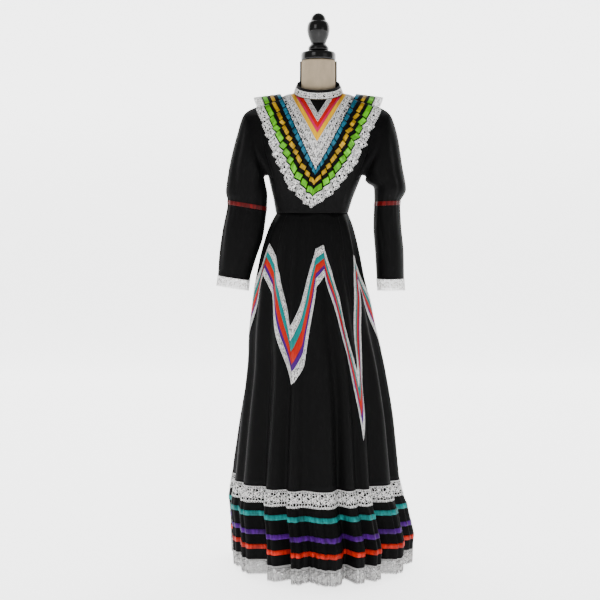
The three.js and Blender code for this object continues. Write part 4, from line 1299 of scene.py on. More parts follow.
def bertha_grid(shares, want_tucks=False):
    """The pleated ruffle all round, its rows at shares of its depth."""
    rng = np.random.default_rng(sizes().seed)
    line = V_LINES[-1]
    parts, waves = [], []
    for side, front in QUARTERS:
        pleats = BERTHA_PLEATS_FRONT if front else BERTHA_PLEATS_BACK
        count, along, within, which = bertha_pleats(pleats, rng)
        along = along[None]
        ends = np.clip(np.minimum(count, pleats - count) / 0.6, 0, 1)
        turned = np.interp(within, (0, BERTHA_TUCK, 1 - BERTHA_TUCK, 1), (0, -0.5, 0.5, 0))
        turned = turned * rng.uniform(0.4, 1.6, pleats)[which] * ends
        longer = 1 + np.interp(count, np.arange(pleats + 1), rng.uniform(-0.05, 0.05, pleats + 1)) * ends
        share = shares[:, None] * longer + BERTHA_STEP * turned * np.minimum(1, shares[:, None] * 4)
        edge = BERTHA_FRONT if front else BERTHA_BACK
        tip = line["tip"] if front else line["back"]
        attach_z = lerp(tip, shoulder_height(line["reach"]), along)
        attach_lateral = line["reach"] * along
        attach_y = np.abs(body_depth(attach_lateral, attach_z, front))
        lateral = lerp(attach_lateral, edge.read("side", along), share)
        z = lerp(attach_z, edge.read("z", along), share)
        clear = lerp(BERTHA_CLEAR_TOP, BERTHA_CLEAR_EDGE, share)
        straight = lerp(attach_y + clear * super_cosine(along), edge.read("out", along), share)
        on_body = np.abs(body_depth(lateral, z, front))
        over = np.where(lateral < BODY.read("half", z), on_body + clear * (1 - along**4), 0)
        drift = BERTHA_TIP_DRIFT * share * (1 - along) ** 3 if front else 0
        x = BODY.read("shift", attach_z) + side * lateral + drift
        y = np.maximum(straight, over) * (-1 if front else 1)
        z = z + BERTHA_SHOULDER_LIFT * along**3
        parts.append(np.stack([x, y, z], axis=-1))
        tuck = np.exp(-((np.minimum(within, 1 - within) / BERTHA_TUCK) ** 2)) * ends
        deep = rng.uniform(0.7, 1.25, pleats)[which]
        rise = np.interp(within, (0, 0.5, 1 - BERTHA_TUCK, 1), (-0.5, 0.25, 1.0, -0.5)) * deep
        waves.append(np.stack([rise, tuck], axis=-1))
    plain = all_round(parts)
    wave, tuck = all_round(waves).T
    grow = (shares**0.75)[:, None]
    depth = BERTHA_PLEAT_DEPTH * grow * wave[None] - lerp(*BERTHA_TUCK_DEPTH, shares)[:, None] * tuck[None]
    grid = plain + grid_normals(plain) * depth[..., None]
    return (grid, tuck) if want_tucks else grid


BERTHA_ARMS = ("back_right", "front_right", "front_left", "back_left")
BERTHA_STEPS = 50
BERTHA_SHARES = np.linspace(0, 1, BERTHA_STEPS + 1)


def bertha_rows(first, last):
    return slice(int(round(first * BERTHA_STEPS)), int(round(last * BERTHA_STEPS)) + 1)


class DRESS_OT_bertha(Operator):
    """Gathered ruffle round the shoulders with three ribbons and a lace edge"""

    bl_idname = "dress.bertha"
    bl_label = "Bertha ruffle"

    def execute(self, context):
        grid, tuck = bertha_grid(BERTHA_SHARES, want_tucks=True)
        back, front = BERTHA_PLEATS_BACK * PLEAT_STEPS, BERTHA_PLEATS_FRONT * PLEAT_STEPS
        stops = (0, back, back + front, back + 2 * front, 2 * back + 2 * front)
        cloth = grid[bertha_rows(0, BERTHA_LACE_FROM + 0.02)]
        for arm, name in enumerate(BERTHA_ARMS):
            part = cloth[:, stops[arm]:stops[arm + 1] + 1]
            cloth_piece(f"ruffle_{name}", part, f"bertha_{name}")
        for name, first, last, finish in BERTHA_RIBBONS:
            part = grid[bertha_rows(first, last)]
            cells = (part.shape[0] - 1, part.shape[1] - 1)
            # Painted shade: the ribbon is left out over the deep tucks so the black cloth shows there,
            # standing for the ribbon running on into the shaded fold.
            hidden = np.broadcast_to((tuck[1:] + tuck[:-1] > 0.8)[None], cells)
            trim_piece(f"{name}_band", part, finish, [name], "gathered", holes=hidden)
        edge = grid[bertha_rows(BERTHA_LACE_FROM, 1)]
        trim_piece("bertha_lace_edge", edge, "lace", ["bertha_lace"], "gathered", scallop=0.0035)
        return {"FINISHED"}


# ---------------------------------------------------------------- sleeves


def armhole_loop(side):
    """The armhole's edge in the order of a sleeve ring, as the sleeve head meets it."""
    def point(ring, share, front):
        lateral, y, z = RINGS[ring](np.array(float(share)), front)
        shift = BODY.read("shift", z)
        return [float(shift + side * (lateral + ARMHOLE_GAP)), float(y), float(z)]

    def half(front):
        return [
            point(ARMPIT_RING_AT, ARMHOLE_UPPER_SHARE, front),
            point(ARMPIT_RING_AT, ARMHOLE_SHARE, front),
            point(ARMHOLE_RING_AT, ARMHOLE_SHARE, front),
            point(SHOULDER_RING_AT, ARMHOLE_SHARE, front),
            point(SHOULDER_RING_AT, ARMHOLE_UPPER_SHARE, front),
        ]

    loop = [
        point(ARMPIT_RING_AT, 1, True), *half(True),
        point(SHOULDER_RING_AT, 1, True), *half(False)[::-1],
    ]
    return np.array(loop if side > 0 else loop[::-1])


SLEEVE_CORNERS = 12
SLEEVE_STEPS = 10  # columns between two corners of the armhole
SLEEVE_ROWS = 12  # rows between two rings


def sleeve_grid(name, first, last):
    """The sleeve between two rings, its columns closing on themselves."""
    side = SIDES[name]
    corners = armhole_loop(side)
    turns = np.arange(SLEEVE_CORNERS * SLEEVE_STEPS + 1) / SLEEVE_STEPS
    low = turns.astype(int) % SLEEVE_CORNERS
    part = (turns - turns.astype(int))[:, None]
    head = lerp(corners[low], corners[(low + 1) % SLEEVE_CORNERS], part)
    turn = np.pi - 2 * np.pi * (turns + (0 if side > 0 else 1)) / SLEEVE_CORNERS
    rings = [head]
    for outer, outer_z, inner, inner_z, depth in SLEEVE_RINGS[name]:
        across = np.cos(turn)
        x = side * (outer + inner) / 2 + side * across * (outer - inner) / 2
        z = (outer_z + inner_z) / 2 + across * (outer_z - inner_z) / 2
        rings.append(np.stack([x, -side * np.sin(turn) * depth, z], axis=-1))
    rows = np.linspace(first, last, int(round((last - first) * SLEEVE_ROWS)) + 1)
    grid = smooth(np.arange(len(rings)), np.array(rings), rows)
    round_share = ((np.pi - turn) / (2 * np.pi)) % 1.0
    round_share = round_share[None]
    ring = rows[:, None]
    near_elbow = np.exp(-np.abs(ring - ELBOW_ROW - 0.5) / 0.55)
    gathers = np.cos(2 * np.pi * 17 * round_share + 1.3 * np.sin(2 * np.pi * 3 * round_share))
    at_elbow = np.exp(-(((ring - ELBOW_ROW - 0.5) / 0.42) ** 2))
    head_fade = np.clip(ring / 1.2, 0, 1)
    cuff_fade = 1 - np.clip(ring - CUFF_ROW + 0.6, 0, 1) * 0.8
    dent = creases(SLEEVE_CREASES, round_share, ring) * head_fade * cuff_fade
    depth = (gathers * 2.0 * near_elbow * (1 - 0.6 * at_elbow)) * head_fade - dent
    grid = grid + grid_normals(grid) * depth[..., None]
    if first == 0:
        allowance = grid[:1] - np.array([side * SEAM_ALLOWANCE, 0, 0])
        grid = np.concatenate([allowance, grid])
    return grid


class DRESS_OT_sleeves(Operator):
    """Puffed upper sleeves, fitted lower sleeves, elbow ribbons and lace cuffs"""

    bl_idname = "dress.sleeves"
    bl_label = "Sleeves"

    def execute(self, context):
        for name in SIDES:
            upper = sleeve_grid(name, 0, ELBOW_ROW + 1)
            lower = sleeve_grid(name, ELBOW_ROW + 1, CUFF_ROW)
            for part, node, grid in (
                (f"sleeve_{name}_puff", f"sleeve_{name}_upper", upper),
                (f"sleeve_{name}_forearm", f"sleeve_{name}_lower", lower),
            ):
                cloth_piece(part, grid, node)
            ribbon = sleeve_grid(name, ELBOW_ROW, ELBOW_ROW + 1)
            trim_piece(f"elbow_ribbon_{name}", ribbon, "elbow", [f"sleeve_{name}_ribbon"], "gathered")
            cuff = sleeve_grid(name, CUFF_ROW, CUFF_ROW + 1)
            trim_piece(f"cuff_lace_edge_{name}", cuff, "lace", [f"cuff_lace_{name}"], "hung",
                       scallop=0.003)
        return {"FINISHED"}


# ---------------------------------------------------------------- skirt and flounce

ZIGZAG_STRIP_ROWS, FLOUNCE_RIBBON_ROWS = 5, 4
FOLD_STOPS = [(crest, 0.0, reach) for crest, _, _, reach in FOLDS]
FOLD_STOPS += [(valley, depth, 0.0) for _, valley, depth, _ in FOLDS]
FOLD_STOPS = sorted(FOLD_STOPS)
TURN_START = FOLD_STOPS[0][0]


def fold_share(at, column):
    """Depth or reach of the folds at an angle, rounded at crests and valleys."""
    stops = np.array([stop[0] for stop in FOLD_STOPS] + [FOLD_STOPS[0][0] + 360])
    values = np.array([stop[column] for stop in FOLD_STOPS] + [FOLD_STOPS[0][column]])
    turned = (np.asarray(at, float) - TURN_START) % 360 + TURN_START
    low = np.clip(np.searchsorted(stops, turned, side="right") - 1, 0, len(stops) - 2)
    part = (turned - stops[low]) / (stops[low + 1] - stops[low])
    return lerp(values[low], values[low + 1], 0.5 - 0.5 * np.cos(np.pi * part))


def gathers(at, z):
    """Ripples of the flounce where it is gathered to the skirt, uneven in pitch."""
    below = np.clip((SEAM_Z - z) / (SEAM_Z - HEM_Z), 0, 1)
    angle = np.radians(at)
    phase = GATHERS * angle + 2.2 * np.sin(5 * angle + 0.6) + 1.3 * np.sin(13 * angle + 2.0)
    strength = 0.62 + 0.38 * np.sin(11 * angle + 1.0) * np.sin(4 * angle)
    narrow = np.cos(phase) + 0.3 * np.cos(2 * phase + 0.9)
    return -GATHER_DEPTH * strength * narrow * below**0.55


def skirt_point(at, z):
    """The skirt and its flounce at an angle from the front and a height."""
    at, z = np.broadcast_arrays(np.asarray(at, float), np.asarray(z, float))
    half = SKIRT.read("half", z)
    rise = np.clip((REACH_TOP - z) / (REACH_TOP - REACH_FULL), 0, 1)
    out = fold_share(at, 2) * rise
    turned = (at - TURN_START) % 360 + TURN_START
    dent = creases(SKIRT_CREASES, turned, z) * (z > SEAM_Z)
    low = np.clip((REACH_TOP - z) / (REACH_TOP - HEM_Z), 0, 1)
    fold = fold_share(at, 1) ** (1 + 0.8 * low) * SKIRT.read("fold", z) * (1 + FOOT_FOLD * low)
    drop = fold + dent - gathers(at, z) * (z < SEAM_Z)
    scale = 1 + (out - drop) / half
    angle = np.radians(at)
    ahead = np.cos(angle)
    depth = np.where(ahead > 0, SKIRT.read("front", z), SKIRT.read("back", z))
    x = SKIRT.read("shift", z) + np.sin(angle) * half * scale
    return np.stack([x, -ahead * depth * scale, z], axis=-1)


def angles_between(first, last, step):
    """Even angles with one on each fold line and zigzag corner."""
    marks = [stop[0] for stop in FOLD_STOPS] + list(ZIGZAG.stops)
    marks = [mark + turn for mark in marks for turn in (-360, 0, 360)]
    marks = [mark for mark in marks if first < mark < last]
    stops = sorted({first, last, *marks})
    pieces = [
        np.linspace(a, b, max(2, int(round((b - a) / step)) + 1))[:-1] for a, b in zip(stops, stops[1:])
    ]
    return np.concatenate([*pieces, [last]])


def zigzag_height(at, share):
    """Height of the zigzag band at an angle, its edges running straight between corners."""
    first = ZIGZAG.stops[0]
    turned = (np.asarray(at, float) - first) % 360 + first
    top = np.interp(turned, ZIGZAG.stops, ZIGZAG.columns["top"])
    tall = np.interp(turned, ZIGZAG.stops, ZIGZAG.columns["tall"])
    return top - tall * share


def whole_turn(step):
    return angles_between(ZIGZAG.stops[0], ZIGZAG.stops[0] + 360, step)


def level_band(at, top, bottom, rows):
    """A band of the skirt or flounce between two heights."""
    return skirt_point(at[None], np.linspace(top, bottom, rows)[:, None])


def zigzag_band(at, first, last):
    """A strip of the zigzag between two shares of its depth."""
    shares = np.linspace(first, last, ZIGZAG_STRIP_ROWS)
    return skirt_point(at[None], np.array([zigzag_height(at, share) for share in shares]))


def skirt_rows(at):
    """Heights of the skirt's rows: level, with rows along the zigzag's edges."""
    shares = [strip[1] for strip in ZIGZAG_STRIPS] + [1.0]
    upper, lower = zigzag_height(at, 0), zigzag_height(at, 1)
    above = [lerp(WAIST_Z, upper, part) for part in np.linspace(0, 1, 25)[:-1]]
    band = [zigzag_height(at, lerp(a, b, part)) for a, b in zip(shares, shares[1:]) for part in (0, 0.5)]
    below = [lerp(lower, SEAM_Z, part) for part in np.linspace(0, 1, 31)]
    return np.array(above + band + below)


class DRESS_OT_skirt(Operator):
    """Six gores of the flared skirt"""

    bl_idname = "dress.skirt"
    bl_label = "Skirt"

    def execute(self, context):
        for name, first, last in SKIRT_PANELS:
            at = angles_between(first, last, SKIRT_STEP)
            grid = skirt_point(at[None], skirt_rows(at))
            cloth_piece(f"skirt_gore_{name}", grid, f"skirt_{name}", hem=True)
        return {"FINISHED"}


class DRESS_OT_zigzag(Operator):
    """Zigzag band of lace and satin round the skirt"""

    bl_idname = "dress.zigzag"
    bl_label = "Zigzag band"

    def execute(self, context):
        at = whole_turn(SKIRT_STEP)
        for name, first, last, finish in ZIGZAG_STRIPS:
            grid = zigzag_band(at, first, last)
            lift = sizes().lift + (sizes().trim if finish == "lace" else 0)
            trim_piece(f"{name}_band", grid, finish, [name], lift=lift, scallop=0.001)
        return {"FINISHED"}


class DRESS_OT_flounce(Operator):
    """Gathered flounce with its heading lace, three ribbons and the hem lace"""

    bl_idname = "dress.flounce"
    bl_label = "Flounce"

    def execute(self, context):
        for name, first, last in SKIRT_PANELS:
            at = angles_between(first, last, FLOUNCE_STEP)
            grid = level_band(at, SEAM_Z, FLOUNCE_END - 3, 24)
            cloth_piece(f"flounce_cloth_{name}", grid, f"flounce_{name}")
            hem = level_band(at, FLOUNCE_END + 2, HEM_Z, 8)
            trim_piece(f"hem_lace_edge_{name}", hem, "lace", [f"hem_lace_{name}"], "gathered",
                       lift=0.0002, scallop=0.004, close=True)
        at = whole_turn(FLOUNCE_STEP)
        heading = level_band(at, SEAM_Z + 2, FLOUNCE_LACE_END, 9)
        trim_piece("flounce_lace_heading", heading, "lace", ["flounce_lace"], "gathered",
                   lift=0.0012, scallop=0.003)
        for name, top, bottom, finish in FLOUNCE_RIBBONS:
            grid = level_band(at, top, bottom, FLOUNCE_RIBBON_ROWS)
            trim_piece(f"{name}_band", grid, finish, [name], "gathered")
        return {"FINISHED"}


# ---------------------------------------------------------------- dress form


def form_grid(z, sides=96):
    angle = np.linspace(0, 2 * np.pi, sides + 1)[None]
    z = z[:, None]
    power = FORM.read("power", z)
    across = np.sign(np.sin(angle)) * np.abs(np.sin(angle)) ** (2 / power)
    ahead = np.sign(np.cos(angle)) * np.abs(np.cos(angle)) ** (2 / power)
    hidden = FORM_INSET * np.clip((NECK_Z - z) / 6, 0, 1)
    x = FORM.read("shift", z) + across * (FORM.read("half", z) - hidden)
    depth = np.where(ahead > 0, FORM.read("front", z), FORM.read("back", z)) - hidden
    return np.stack([x, -ahead * depth, np.broadcast_to(z, x.shape)], axis=-1)


def softened(outline, times=2):
    """The outline with each corner cut twice, its ends kept."""
    points = np.array(outline, float)
    for _ in range(times):
        first = points[:-1] * 0.8 + points[1:] * 0.2
        second = points[:-1] * 0.2 + points[1:] * 0.8
        mixed = np.stack([first, second], axis=1).reshape(-1, 2)
        points = np.concatenate([points[:1], mixed, points[-1:]])
    return points


def turned_piece(name, outline, material, finish, node, centre_x=0.0, floor_z=0.0, sides=72):
    """A closed turned solid; the outline runs up from the axis and back to it."""
    profile = softened(outline)[::-1]
    angle = np.linspace(0, 2 * np.pi, sides + 1)[None]
    radius, height = profile[:, :1], profile[:, 1:]
    x = centre_x + radius * np.sin(angle)
    y = -radius * np.cos(angle)
    grid = np.stack([x, y, np.broadcast_to(height + floor_z, x.shape)], axis=-1)
    piece = grid_piece(name, grid, material)
    return place(piece, finish, node)


class DRESS_OT_form(Operator):
    """Padded torso with its piping, turned neck cap and finial, pole and foot"""

    bl_idname = "dress.form"
    bl_label = "Dress form"

    def execute(self, context):
        heights = np.concatenate([
            np.linspace(TORSO_TOP, NECK_Z, 24)[:-1],
            np.linspace(NECK_Z, 1400, 24)[:-1],
            np.linspace(1400, TORSO_BOTTOM, 60),
        ])
        grid = form_grid(heights)
        caps = [np.broadcast_to(ring.mean(axis=0), ring.shape)[None] for ring in (grid[0], grid[-1])]
        grid = np.concatenate([caps[0], grid, caps[1]])
        torso = grid_piece("form_cover", grid, linen())
        place(torso, "linen", "form_torso")
        turned_piece("form_cap", NECK_CAP, lacquer(), "lacquer", "form_neck_cap", NECK_X, TORSO_TOP)
        turned_piece("form_knob", FINIAL, lacquer(), "lacquer", "form_finial", NECK_X, CAP_TOP)
        turned_piece("form_foot", BASE, lacquer(), "lacquer", "form_base")
        top = TORSO_BOTTOM + 4
        pole = ((0, BASE_THICK - 1), (POLE_RADIUS, BASE_THICK - 1), (POLE_RADIUS, top), (0, top))
        turned_piece("form_post", pole, enamel(), "enamel", "form_pole")
        neck_piping()
        return {"FINISHED"}


def neck_piping():
    """Black piping sewn into the side seams of the neck."""
    heights = np.linspace(TORSO_TOP - 1, NECK_Z - 12, 40)
    for name, side in SIDES.items():
        x = FORM.read("shift", heights) + side * (FORM.read("half", heights) + NECK_PIPING_RADIUS * 0.7)
        path = np.stack([x, np.zeros_like(x), heights], axis=-1)
        piece = tube(f"neck_piping_{name}", path, NECK_PIPING_RADIUS, black_cloth())
        place(piece, "cloth")


def tube(name, path, radius, material, sides=10):
    """A closed round cord along a path in millimetres."""
    along = np.gradient(path, axis=0)
    along /= np.linalg.norm(along, axis=1, keepdims=True)
    across = np.cross(along, np.array([0.0, 1.0, 0.0]))
    across /= np.linalg.norm(across, axis=1, keepdims=True)
    third = np.cross(along, across)
    angle = np.linspace(0, 2 * np.pi, sides + 1)[None, :, None]
    rings = path[:, None] + radius * (np.cos(angle) * across[:, None] + np.sin(angle) * third[:, None])
    ends = [np.broadcast_to(path[place_at], rings[0].shape)[None] for place_at in (0, -1)]
    return grid_piece(name, np.concatenate([ends[0], rings, ends[1]]), material)


# ---------------------------------------------------------------- zip behind


class DRESS_OT_zip(Operator):
    """Concealed zip down the back seam, with its teeth and pull"""

    bl_idname = "dress.zip"
    bl_label = "Back zip"

    def execute(self, context):
        heights = np.arange(ZIP_FROM - 40, ZIP_TO, -ZIP_TOOTH)
        shift = BODY.read("shift", heights)
        depth = np.abs(body_depth(np.zeros_like(heights), heights, False))
        path = np.stack([shift, depth + 0.4, heights], axis=-1)
        line = polyline("zip_line", path)
        teeth = repeated(line, "zip_teeth", bead_run, enamel(), {"Spacing": ZIP_TOOTH * MM, "Size": 0.0011})
        place(teeth, "enamel")
        low, high = (Vector(corner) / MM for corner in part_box("zip_pull"))
        pull_piece(low, high)
        return {"FINISHED"}


PULL_SIDES = 28


def pull_piece(low, high):
    """Drop-shaped pull lying on the slope of the back seam, with a hole at its foot."""
    width = (high.x - low.x) / 2
    middle = (low + high) / 2
    tall, lean = high.z - low.z, high.y - low.y
    build = bmesh.new()
    outline = []
    turns = [2 * math.pi * step / PULL_SIDES for step in range(PULL_SIDES)]
    for turn in turns:
        upward = math.cos(turn)
        half = width * (0.62 + 0.38 * (0.5 - 0.5 * upward))
        outline.append((half * math.sin(turn), upward * tall / 2))
    eye = width * 0.32
    hole = [(eye * math.sin(turn), -tall * 0.28 + eye * math.cos(turn)) for turn in turns]
    rings = []
    for offset in (0.5, -0.5):
        for loop in (outline, hole):
            row = []
            for x, z in loop:
                y = middle.y - z / tall * lean * 0.9 + offset * 1.4
                row.append(build.verts.new(((middle.x + x) * MM, y * MM, (middle.z + z) * MM)))
            rings.append(row)
    outer_front, inner_front, outer_back, inner_back = rings
    sides = (
        (outer_front, inner_front), (inner_back, outer_back),
        (outer_back, outer_front), (inner_front, inner_back),
    )
    for a, b in sides:
        for i in range(PULL_SIDES):
            j = (i + 1) % PULL_SIDES
            build.faces.new((a[i], a[j], b[j], b[i]))
    bmesh.ops.recalc_face_normals(build, faces=build.faces)
    mesh = bpy.data.meshes.new("zip_slider")
    build.to_mesh(mesh)
    build.free()
    mesh.shade_smooth()
    piece = link_mesh("zip_slider", mesh, enamel())
    edge = piece.modifiers.new("edge", "BEVEL")
    edge.width = 0.0003
    edge.segments = 2
    place(piece, "enamel", "zip_pull")


# ---------------------------------------------------------------- what repeats along a line


def polyline(name, *paths):
    """A mesh of edges along paths in millimetres, for a geometry tree to follow."""
    points, edges = [], []
    for path in paths:
        start = len(points)
        points += (np.asarray(path) * MM).tolist()
        edges += [(start + step, start + step + 1) for step in range(len(path) - 1)]
    mesh = bpy.data.meshes.new(name)
    mesh.from_pydata(points, edges, [])
    line = bpy.data.objects.new(name, mesh)
    collection().objects.link(line)
    return line


def tree_of(name, inputs):
    """A geometry tree with its group input and output."""
    tree = bpy.data.node_groups.new(name, "GeometryNodeTree")
    tree.interface.new_socket(name="Line", in_out="INPUT", socket_type="NodeSocketGeometry")
    for label, kind, default in inputs:
        socket = tree.interface.new_socket(name=label, in_out="INPUT", socket_type=kind)
        if default is not None:
            socket.default_value = default
    tree.interface.new_socket(name="Geometry", in_out="OUTPUT", socket_type="NodeSocketGeometry")
    return tree, tree.nodes.new("NodeGroupInput").outputs, tree.nodes.new("NodeGroupOutput")


def add(tree, kind, inputs, **settings):
    """Outputs of a new node, with each input given a value or linked to another node's output."""
    node = tree.nodes.new(kind)
    for key, value in settings.items():
        setattr(node, key, value)
    for key, value in inputs.items():
        if isinstance(value, bpy.types.NodeSocket):
            tree.links.new(value, node.inputs[key])
        else:
            node.inputs[key].default_value = value
    return node.outputs


def follow(tree, entry, exit_node, shape, align_z=True):
    """Shape at even spacing along the line, turned along it, realized and given its material."""
    line = add(tree, "GeometryNodeMeshToCurve", {0: entry["Line"]})[0]
    spaced = {"Curve": line, "Length": entry["Spacing"]}
    even = add(tree, "GeometryNodeResampleCurve", spaced, mode="LENGTH")[0]
    tangent = add(tree, "GeometryNodeInputTangent", {})[0]
    turned = add(tree, "FunctionNodeAlignRotationToVector", {"Vector": tangent}, axis="X")[0]
    if align_z:
        upright = {"Rotation": turned, "Vector": (0, 0, 1)}
        turned = add(tree, "FunctionNodeAlignRotationToVector", upright, axis="Z", pivot_axis="X")[0]
    each = {"Points": even, "Instance": shape, "Rotation": turned}
    copies = add(tree, "GeometryNodeInstanceOnPoints", each)[0]
    real = add(tree, "GeometryNodeRealizeInstances", {0: copies})[0]
    finish = {"Geometry": real, "Material": entry["Material"]}
    tree.links.new(add(tree, "GeometryNodeSetMaterial", finish)[0], exit_node.inputs[0])


RUN_INPUTS = [("Spacing", "NodeSocketFloat", 0.005), ("Size", "NodeSocketFloat", 0.001),
              ("Material", "NodeSocketMaterial", None)]


def bead_run(name):
    """Small round beads, such as zip teeth."""
    tree, entry, exit_node = tree_of(name, RUN_INPUTS)
    ball = add(tree, "GeometryNodeMeshIcoSphere", {"Subdivisions": 2, "Radius": entry["Size"]})
    follow(tree, entry, exit_node, ball["Mesh"])
    return tree


def stitch_run(name):
    """Short stitches, lying along the line."""
    inputs = [*RUN_INPUTS, ("Length", "NodeSocketFloat", 0.0026)]
    tree, entry, exit_node = tree_of(name, inputs)
    ball = add(tree, "GeometryNodeMeshIcoSphere", {"Subdivisions": 1, "Radius": 0.5})["Mesh"]
    size = add(tree, "ShaderNodeCombineXYZ", {0: entry["Length"], 1: entry["Size"], 2: entry["Size"]})[0]
    shape = add(tree, "GeometryNodeTransform", {"Geometry": ball, "Scale": size})[0]
    follow(tree, entry, exit_node, shape, align_z=False)
    return tree


def picot_run(name):
    """Small hanging loops of thread along the free edge of lace."""
    tree, entry, exit_node = tree_of(name, RUN_INPUTS)
    bend = {"Resolution": 7, "Start Angle": 0.0, "Sweep Angle": math.pi, "Radius": entry["Size"]}
    arc = add(tree, "GeometryNodeCurveArc", bend, mode="RADIUS")[0]
    ring = add(tree, "GeometryNodeCurvePrimitiveCircle", {"Resolution": 4, "Radius": 0.0004})[0]
    thread = {"Curve": arc, "Profile Curve": ring, "Fill Caps": True}
    loop = add(tree, "GeometryNodeCurveToMesh", thread)[0]
    hang = {"Geometry": loop, "Rotation": (-math.pi / 2, 0, 0)}
    follow(tree, entry, exit_node, add(tree, "GeometryNodeTransform", hang)[0])
    return tree


def repeated(line, name, build, material, values):
    """The tree's result on a line, as a plain mesh."""
    tree = bpy.data.node_groups.get(build.__name__) or build(build.__name__)
    step = line.modifiers.new("run", "NODES")
    step.node_group = tree
    sockets = {item.name: item.identifier for item in tree.interface.items_tree if item.in_out == "INPUT"}
    step[sockets["Material"]] = material
    for label, value in values.items():
        step[sockets[label]] = float(value)
    depsgraph = bpy.context.evaluated_depsgraph_get()
    mesh = bpy.data.meshes.new_from_object(line.evaluated_get(depsgraph))
    mesh.name = name
    line.modifiers.clear()
    bpy.data.objects.remove(line)
    piece = bpy.data.objects.new(name, mesh)
    collection().objects.link(piece)
    mesh.shade_smooth()
    if not mesh.materials:
        mesh.materials.append(material)
    return piece


def edge_lines(grid, lift, inset=1.2):
    """Lines just inside the upper and lower edge of a trim, on its face."""
    laid = moved_out(grid, lift)
    down = running_length(laid, 0)
    lines = []
    for distance in (inset, -inset):
        wanted = np.where(distance > 0, distance, down[-1] + distance)
        line = [
            [np.interp(wanted[column], down[:, column], laid[:, column, axis]) for axis in range(3)]
            for column in range(laid.shape[1])
        ]
        lines.append(np.array(line))
    return lines


class DRESS_OT_stitching(Operator):
    """Topstitching along the ribbons and picots along the free edges of the lace"""

    bl_idname = "dress.stitching"
    bl_label = "Stitching and picots"

    def execute(self, context):
        size = sizes()
        run = {"Spacing": size.stitch_spacing, "Size": size.stitch_radius * 2, "Length": size.stitch}
        top = size.lift + size.trim
        dark = material_once("dark_thread", thread_material, "dark_thread", colours().thread)
        pale = material_once("lace_thread", thread_material, "lace_thread", colours().lace)
        at, hem_at = whole_turn(SKIRT_STEP), whole_turn(FLOUNCE_STEP)
        ruffle = bertha_grid(BERTHA_SHARES)
        seams = {
            "zigzag": [zigzag_band(at, first, last) for _, first, last, _ in ZIGZAG_STRIPS[1:4]],
            "flounce": [
                level_band(hem_at, upper, lower, FLOUNCE_RIBBON_ROWS)
                for _, upper, lower, _ in FLOUNCE_RIBBONS
            ],
            "bertha": [ruffle[bertha_rows(first, last)] for _, first, last, _ in BERTHA_RIBBONS],
        }
        for name, bands in seams.items():
            lines = [line for band in bands for line in edge_lines(band, top)]
            piece = repeated(polyline(f"{name}_line", *lines), f"{name}_stitching", stitch_run, dark, run)
            place(piece, "cloth")
        self.picots(ruffle, hem_at, pale)
        return {"FINISHED"}

    def picots(self, bertha, at, material):
        size = sizes()
        run = {"Spacing": size.picot_spacing, "Size": size.picot}
        hem = level_band(at, HEM_Z + 4.0, HEM_Z + 2.0, 2)[-1]
        heading = level_band(at, FLOUNCE_LACE_END + 2.0, FLOUNCE_LACE_END + 0.6, 2)
        heading = moved_out(heading, 0.0016)[-1]
        edge = moved_out(bertha[-3:], size.lift)[-1]
        cuffs = [sleeve_grid(name, CUFF_ROW, CUFF_ROW + 1)[-1] for name in SIDES]
        for name, paths in (("hem_picots", [hem]), ("heading_picots", [heading]), ("ruffle_picots", [edge]),
                            ("cuff_picots", cuffs)):
            piece = repeated(polyline(f"{name}_line", *paths), name, picot_run, material, run)
            place(piece, "lace")


# ---------------------------------------------------------------- stage

CAMERA_PLACE = (-0.050, -3.400, 1.088)
CAMERA_TILT = 85.59  # degrees from straight down
LENS = 66.06
SENSOR = 36.0
LIGHTS = (  # name, place, point it is turned to, size in metres, watts
    ("key", (-1.9, -2.9, 2.7), (0, 0, 0.95), 1.4, 30),
    ("fill", (2.4, -2.5, 1.7), (0, 0, 0.9), 1.6, 10),
    ("rim_left", (-1.7, 1.6, 2.2), (0, 0, 1.0), 1.2, 8),
    ("rim_right", (1.8, 1.5, 2.0), (0, 0, 0.9), 1.2, 8),
    ("low", (0.2, -2.6, 0.35), (0, 0, 0.4), 1.2, 9),
)
WORLD_LIGHT, PAPER_LIGHT = 0.55, 2.6
WHITE, PAPER = (1.0, 1.0, 1.0, 1.0), (0.93, 0.93, 0.93, 1.0)


class DRESS_OT_stage(Operator):
    """Pale floor that curves up behind, soft lights and the camera"""

    bl_idname = "dress.stage"
    bl_label = "Stage"

    def execute(self, context):
        backdrop()
        for light in LIGHTS:
            area_light(*light)
        world = bpy.data.worlds.new("studio")
        world.use_nodes = True
        world.node_tree.nodes["Background"].inputs["Color"].default_value = WHITE
        world.node_tree.nodes["Background"].inputs["Strength"].default_value = WORLD_LIGHT
        context.scene.world = world
        lens = bpy.data.cameras.new("view")
        lens.lens = LENS
        lens.sensor_width = SENSOR
        camera = bpy.data.objects.new("view", lens)
        camera.location = CAMERA_PLACE
        camera.rotation_euler = (math.radians(CAMERA_TILT), 0, 0)
        collection().objects.link(camera)
        context.scene.camera = camera
        return {"FINISHED"}


def area_light(name, place_at, towards, size, power):
    lamp = bpy.data.lights.new(name, "AREA")
    lamp.size = size
    lamp.energy = power
    light = bpy.data.objects.new(name, lamp)
    light.location = place_at
    light.rotation_euler = (Vector(towards) - Vector(place_at)).to_track_quat("-Z", "Y").to_euler()
    collection().objects.link(light)


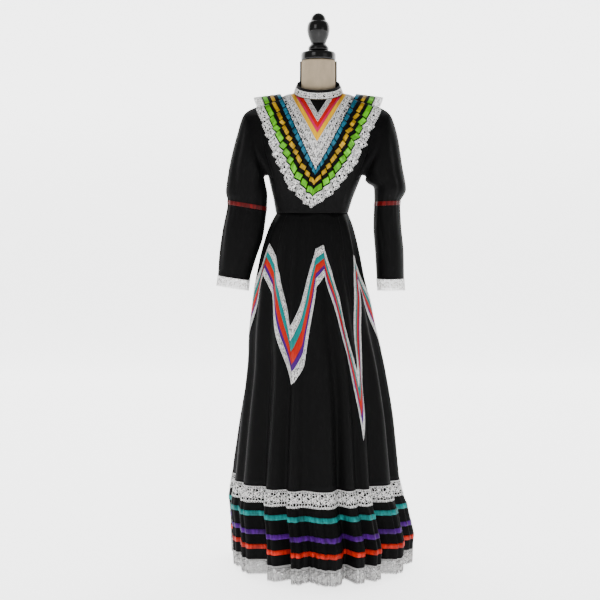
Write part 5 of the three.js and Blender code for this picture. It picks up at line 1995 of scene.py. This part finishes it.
def backdrop():
    """A wide pale floor with a soft curve up into a wall well behind the form."""
    mesh = bpy.data.meshes.new("stage_floor")
    build = bmesh.new()
    reach, wall, radius, top = 30.0, 6.0, 2.0, 14.0
    profile = [(-reach, 0.0), (wall - radius, 0.0)]
    profile += [
        (wall - radius + radius * math.sin(a), radius - radius * math.cos(a))
        for a in (math.pi / 2 * step / 16 for step in range(1, 17))
    ]
    profile.append((wall, top))
    rows = [[build.verts.new((x, y, z)) for x in (-reach, reach)] for y, z in profile]
    for a, b in zip(rows, rows[1:]):
        build.faces.new((a[0], a[1], b[1], b[0]))
    build.to_mesh(mesh)
    build.free()
    mesh.shade_smooth()
    material, _, shader = new_material("stage_paper")
    set_sockets(shader, Base_Color=PAPER, Roughness=0.9, Emission_Color=WHITE, Emission_Strength=PAPER_LIGHT)
    floor = bpy.data.objects.new("stage_floor", mesh)
    mesh.materials.append(material)
    collection().objects.link(floor)


# ---------------------------------------------------------------- panel and run


class DRESS_PT_pieces(Panel):
    """Pieces of the dress, each with its own button"""

    bl_label = "Dress"
    bl_idname = "DRESS_PT_pieces"
    bl_space_type = "VIEW_3D"
    bl_region_type = "UI"
    bl_category = "Dress"

    def draw(self, context):
        for group in (context.scene.dress_sizes, context.scene.dress_colours):
            for name in group.bl_rna.properties.keys():
                if name not in ("rna_type", "name"):
                    self.layout.prop(group, name)
        for step in STEPS:
            self.layout.operator(step.bl_idname)


STEPS = (
    DRESS_OT_form,
    DRESS_OT_bodice,
    DRESS_OT_chest_trim,
    DRESS_OT_collar,
    DRESS_OT_bertha,
    DRESS_OT_sleeves,
    DRESS_OT_skirt,
    DRESS_OT_zigzag,
    DRESS_OT_flounce,
    DRESS_OT_zip,
    DRESS_OT_stitching,
    DRESS_OT_stage,
)
CLASSES = (DressSizes, DressColours, *STEPS, DRESS_PT_pieces)


def register():
    for item in CLASSES:
        bpy.utils.register_class(item)
    bpy.types.Scene.dress_sizes = PointerProperty(type=DressSizes)
    bpy.types.Scene.dress_colours = PointerProperty(type=DressColours)


def unregister():
    del bpy.types.Scene.dress_colours
    del bpy.types.Scene.dress_sizes
    for item in reversed(CLASSES):
        bpy.utils.unregister_class(item)


def main():
    register()
    for step in STEPS:
        area, name = step.bl_idname.split(".")
        getattr(getattr(bpy.ops, area), name)()


if __name__ == "__main__":
    main()
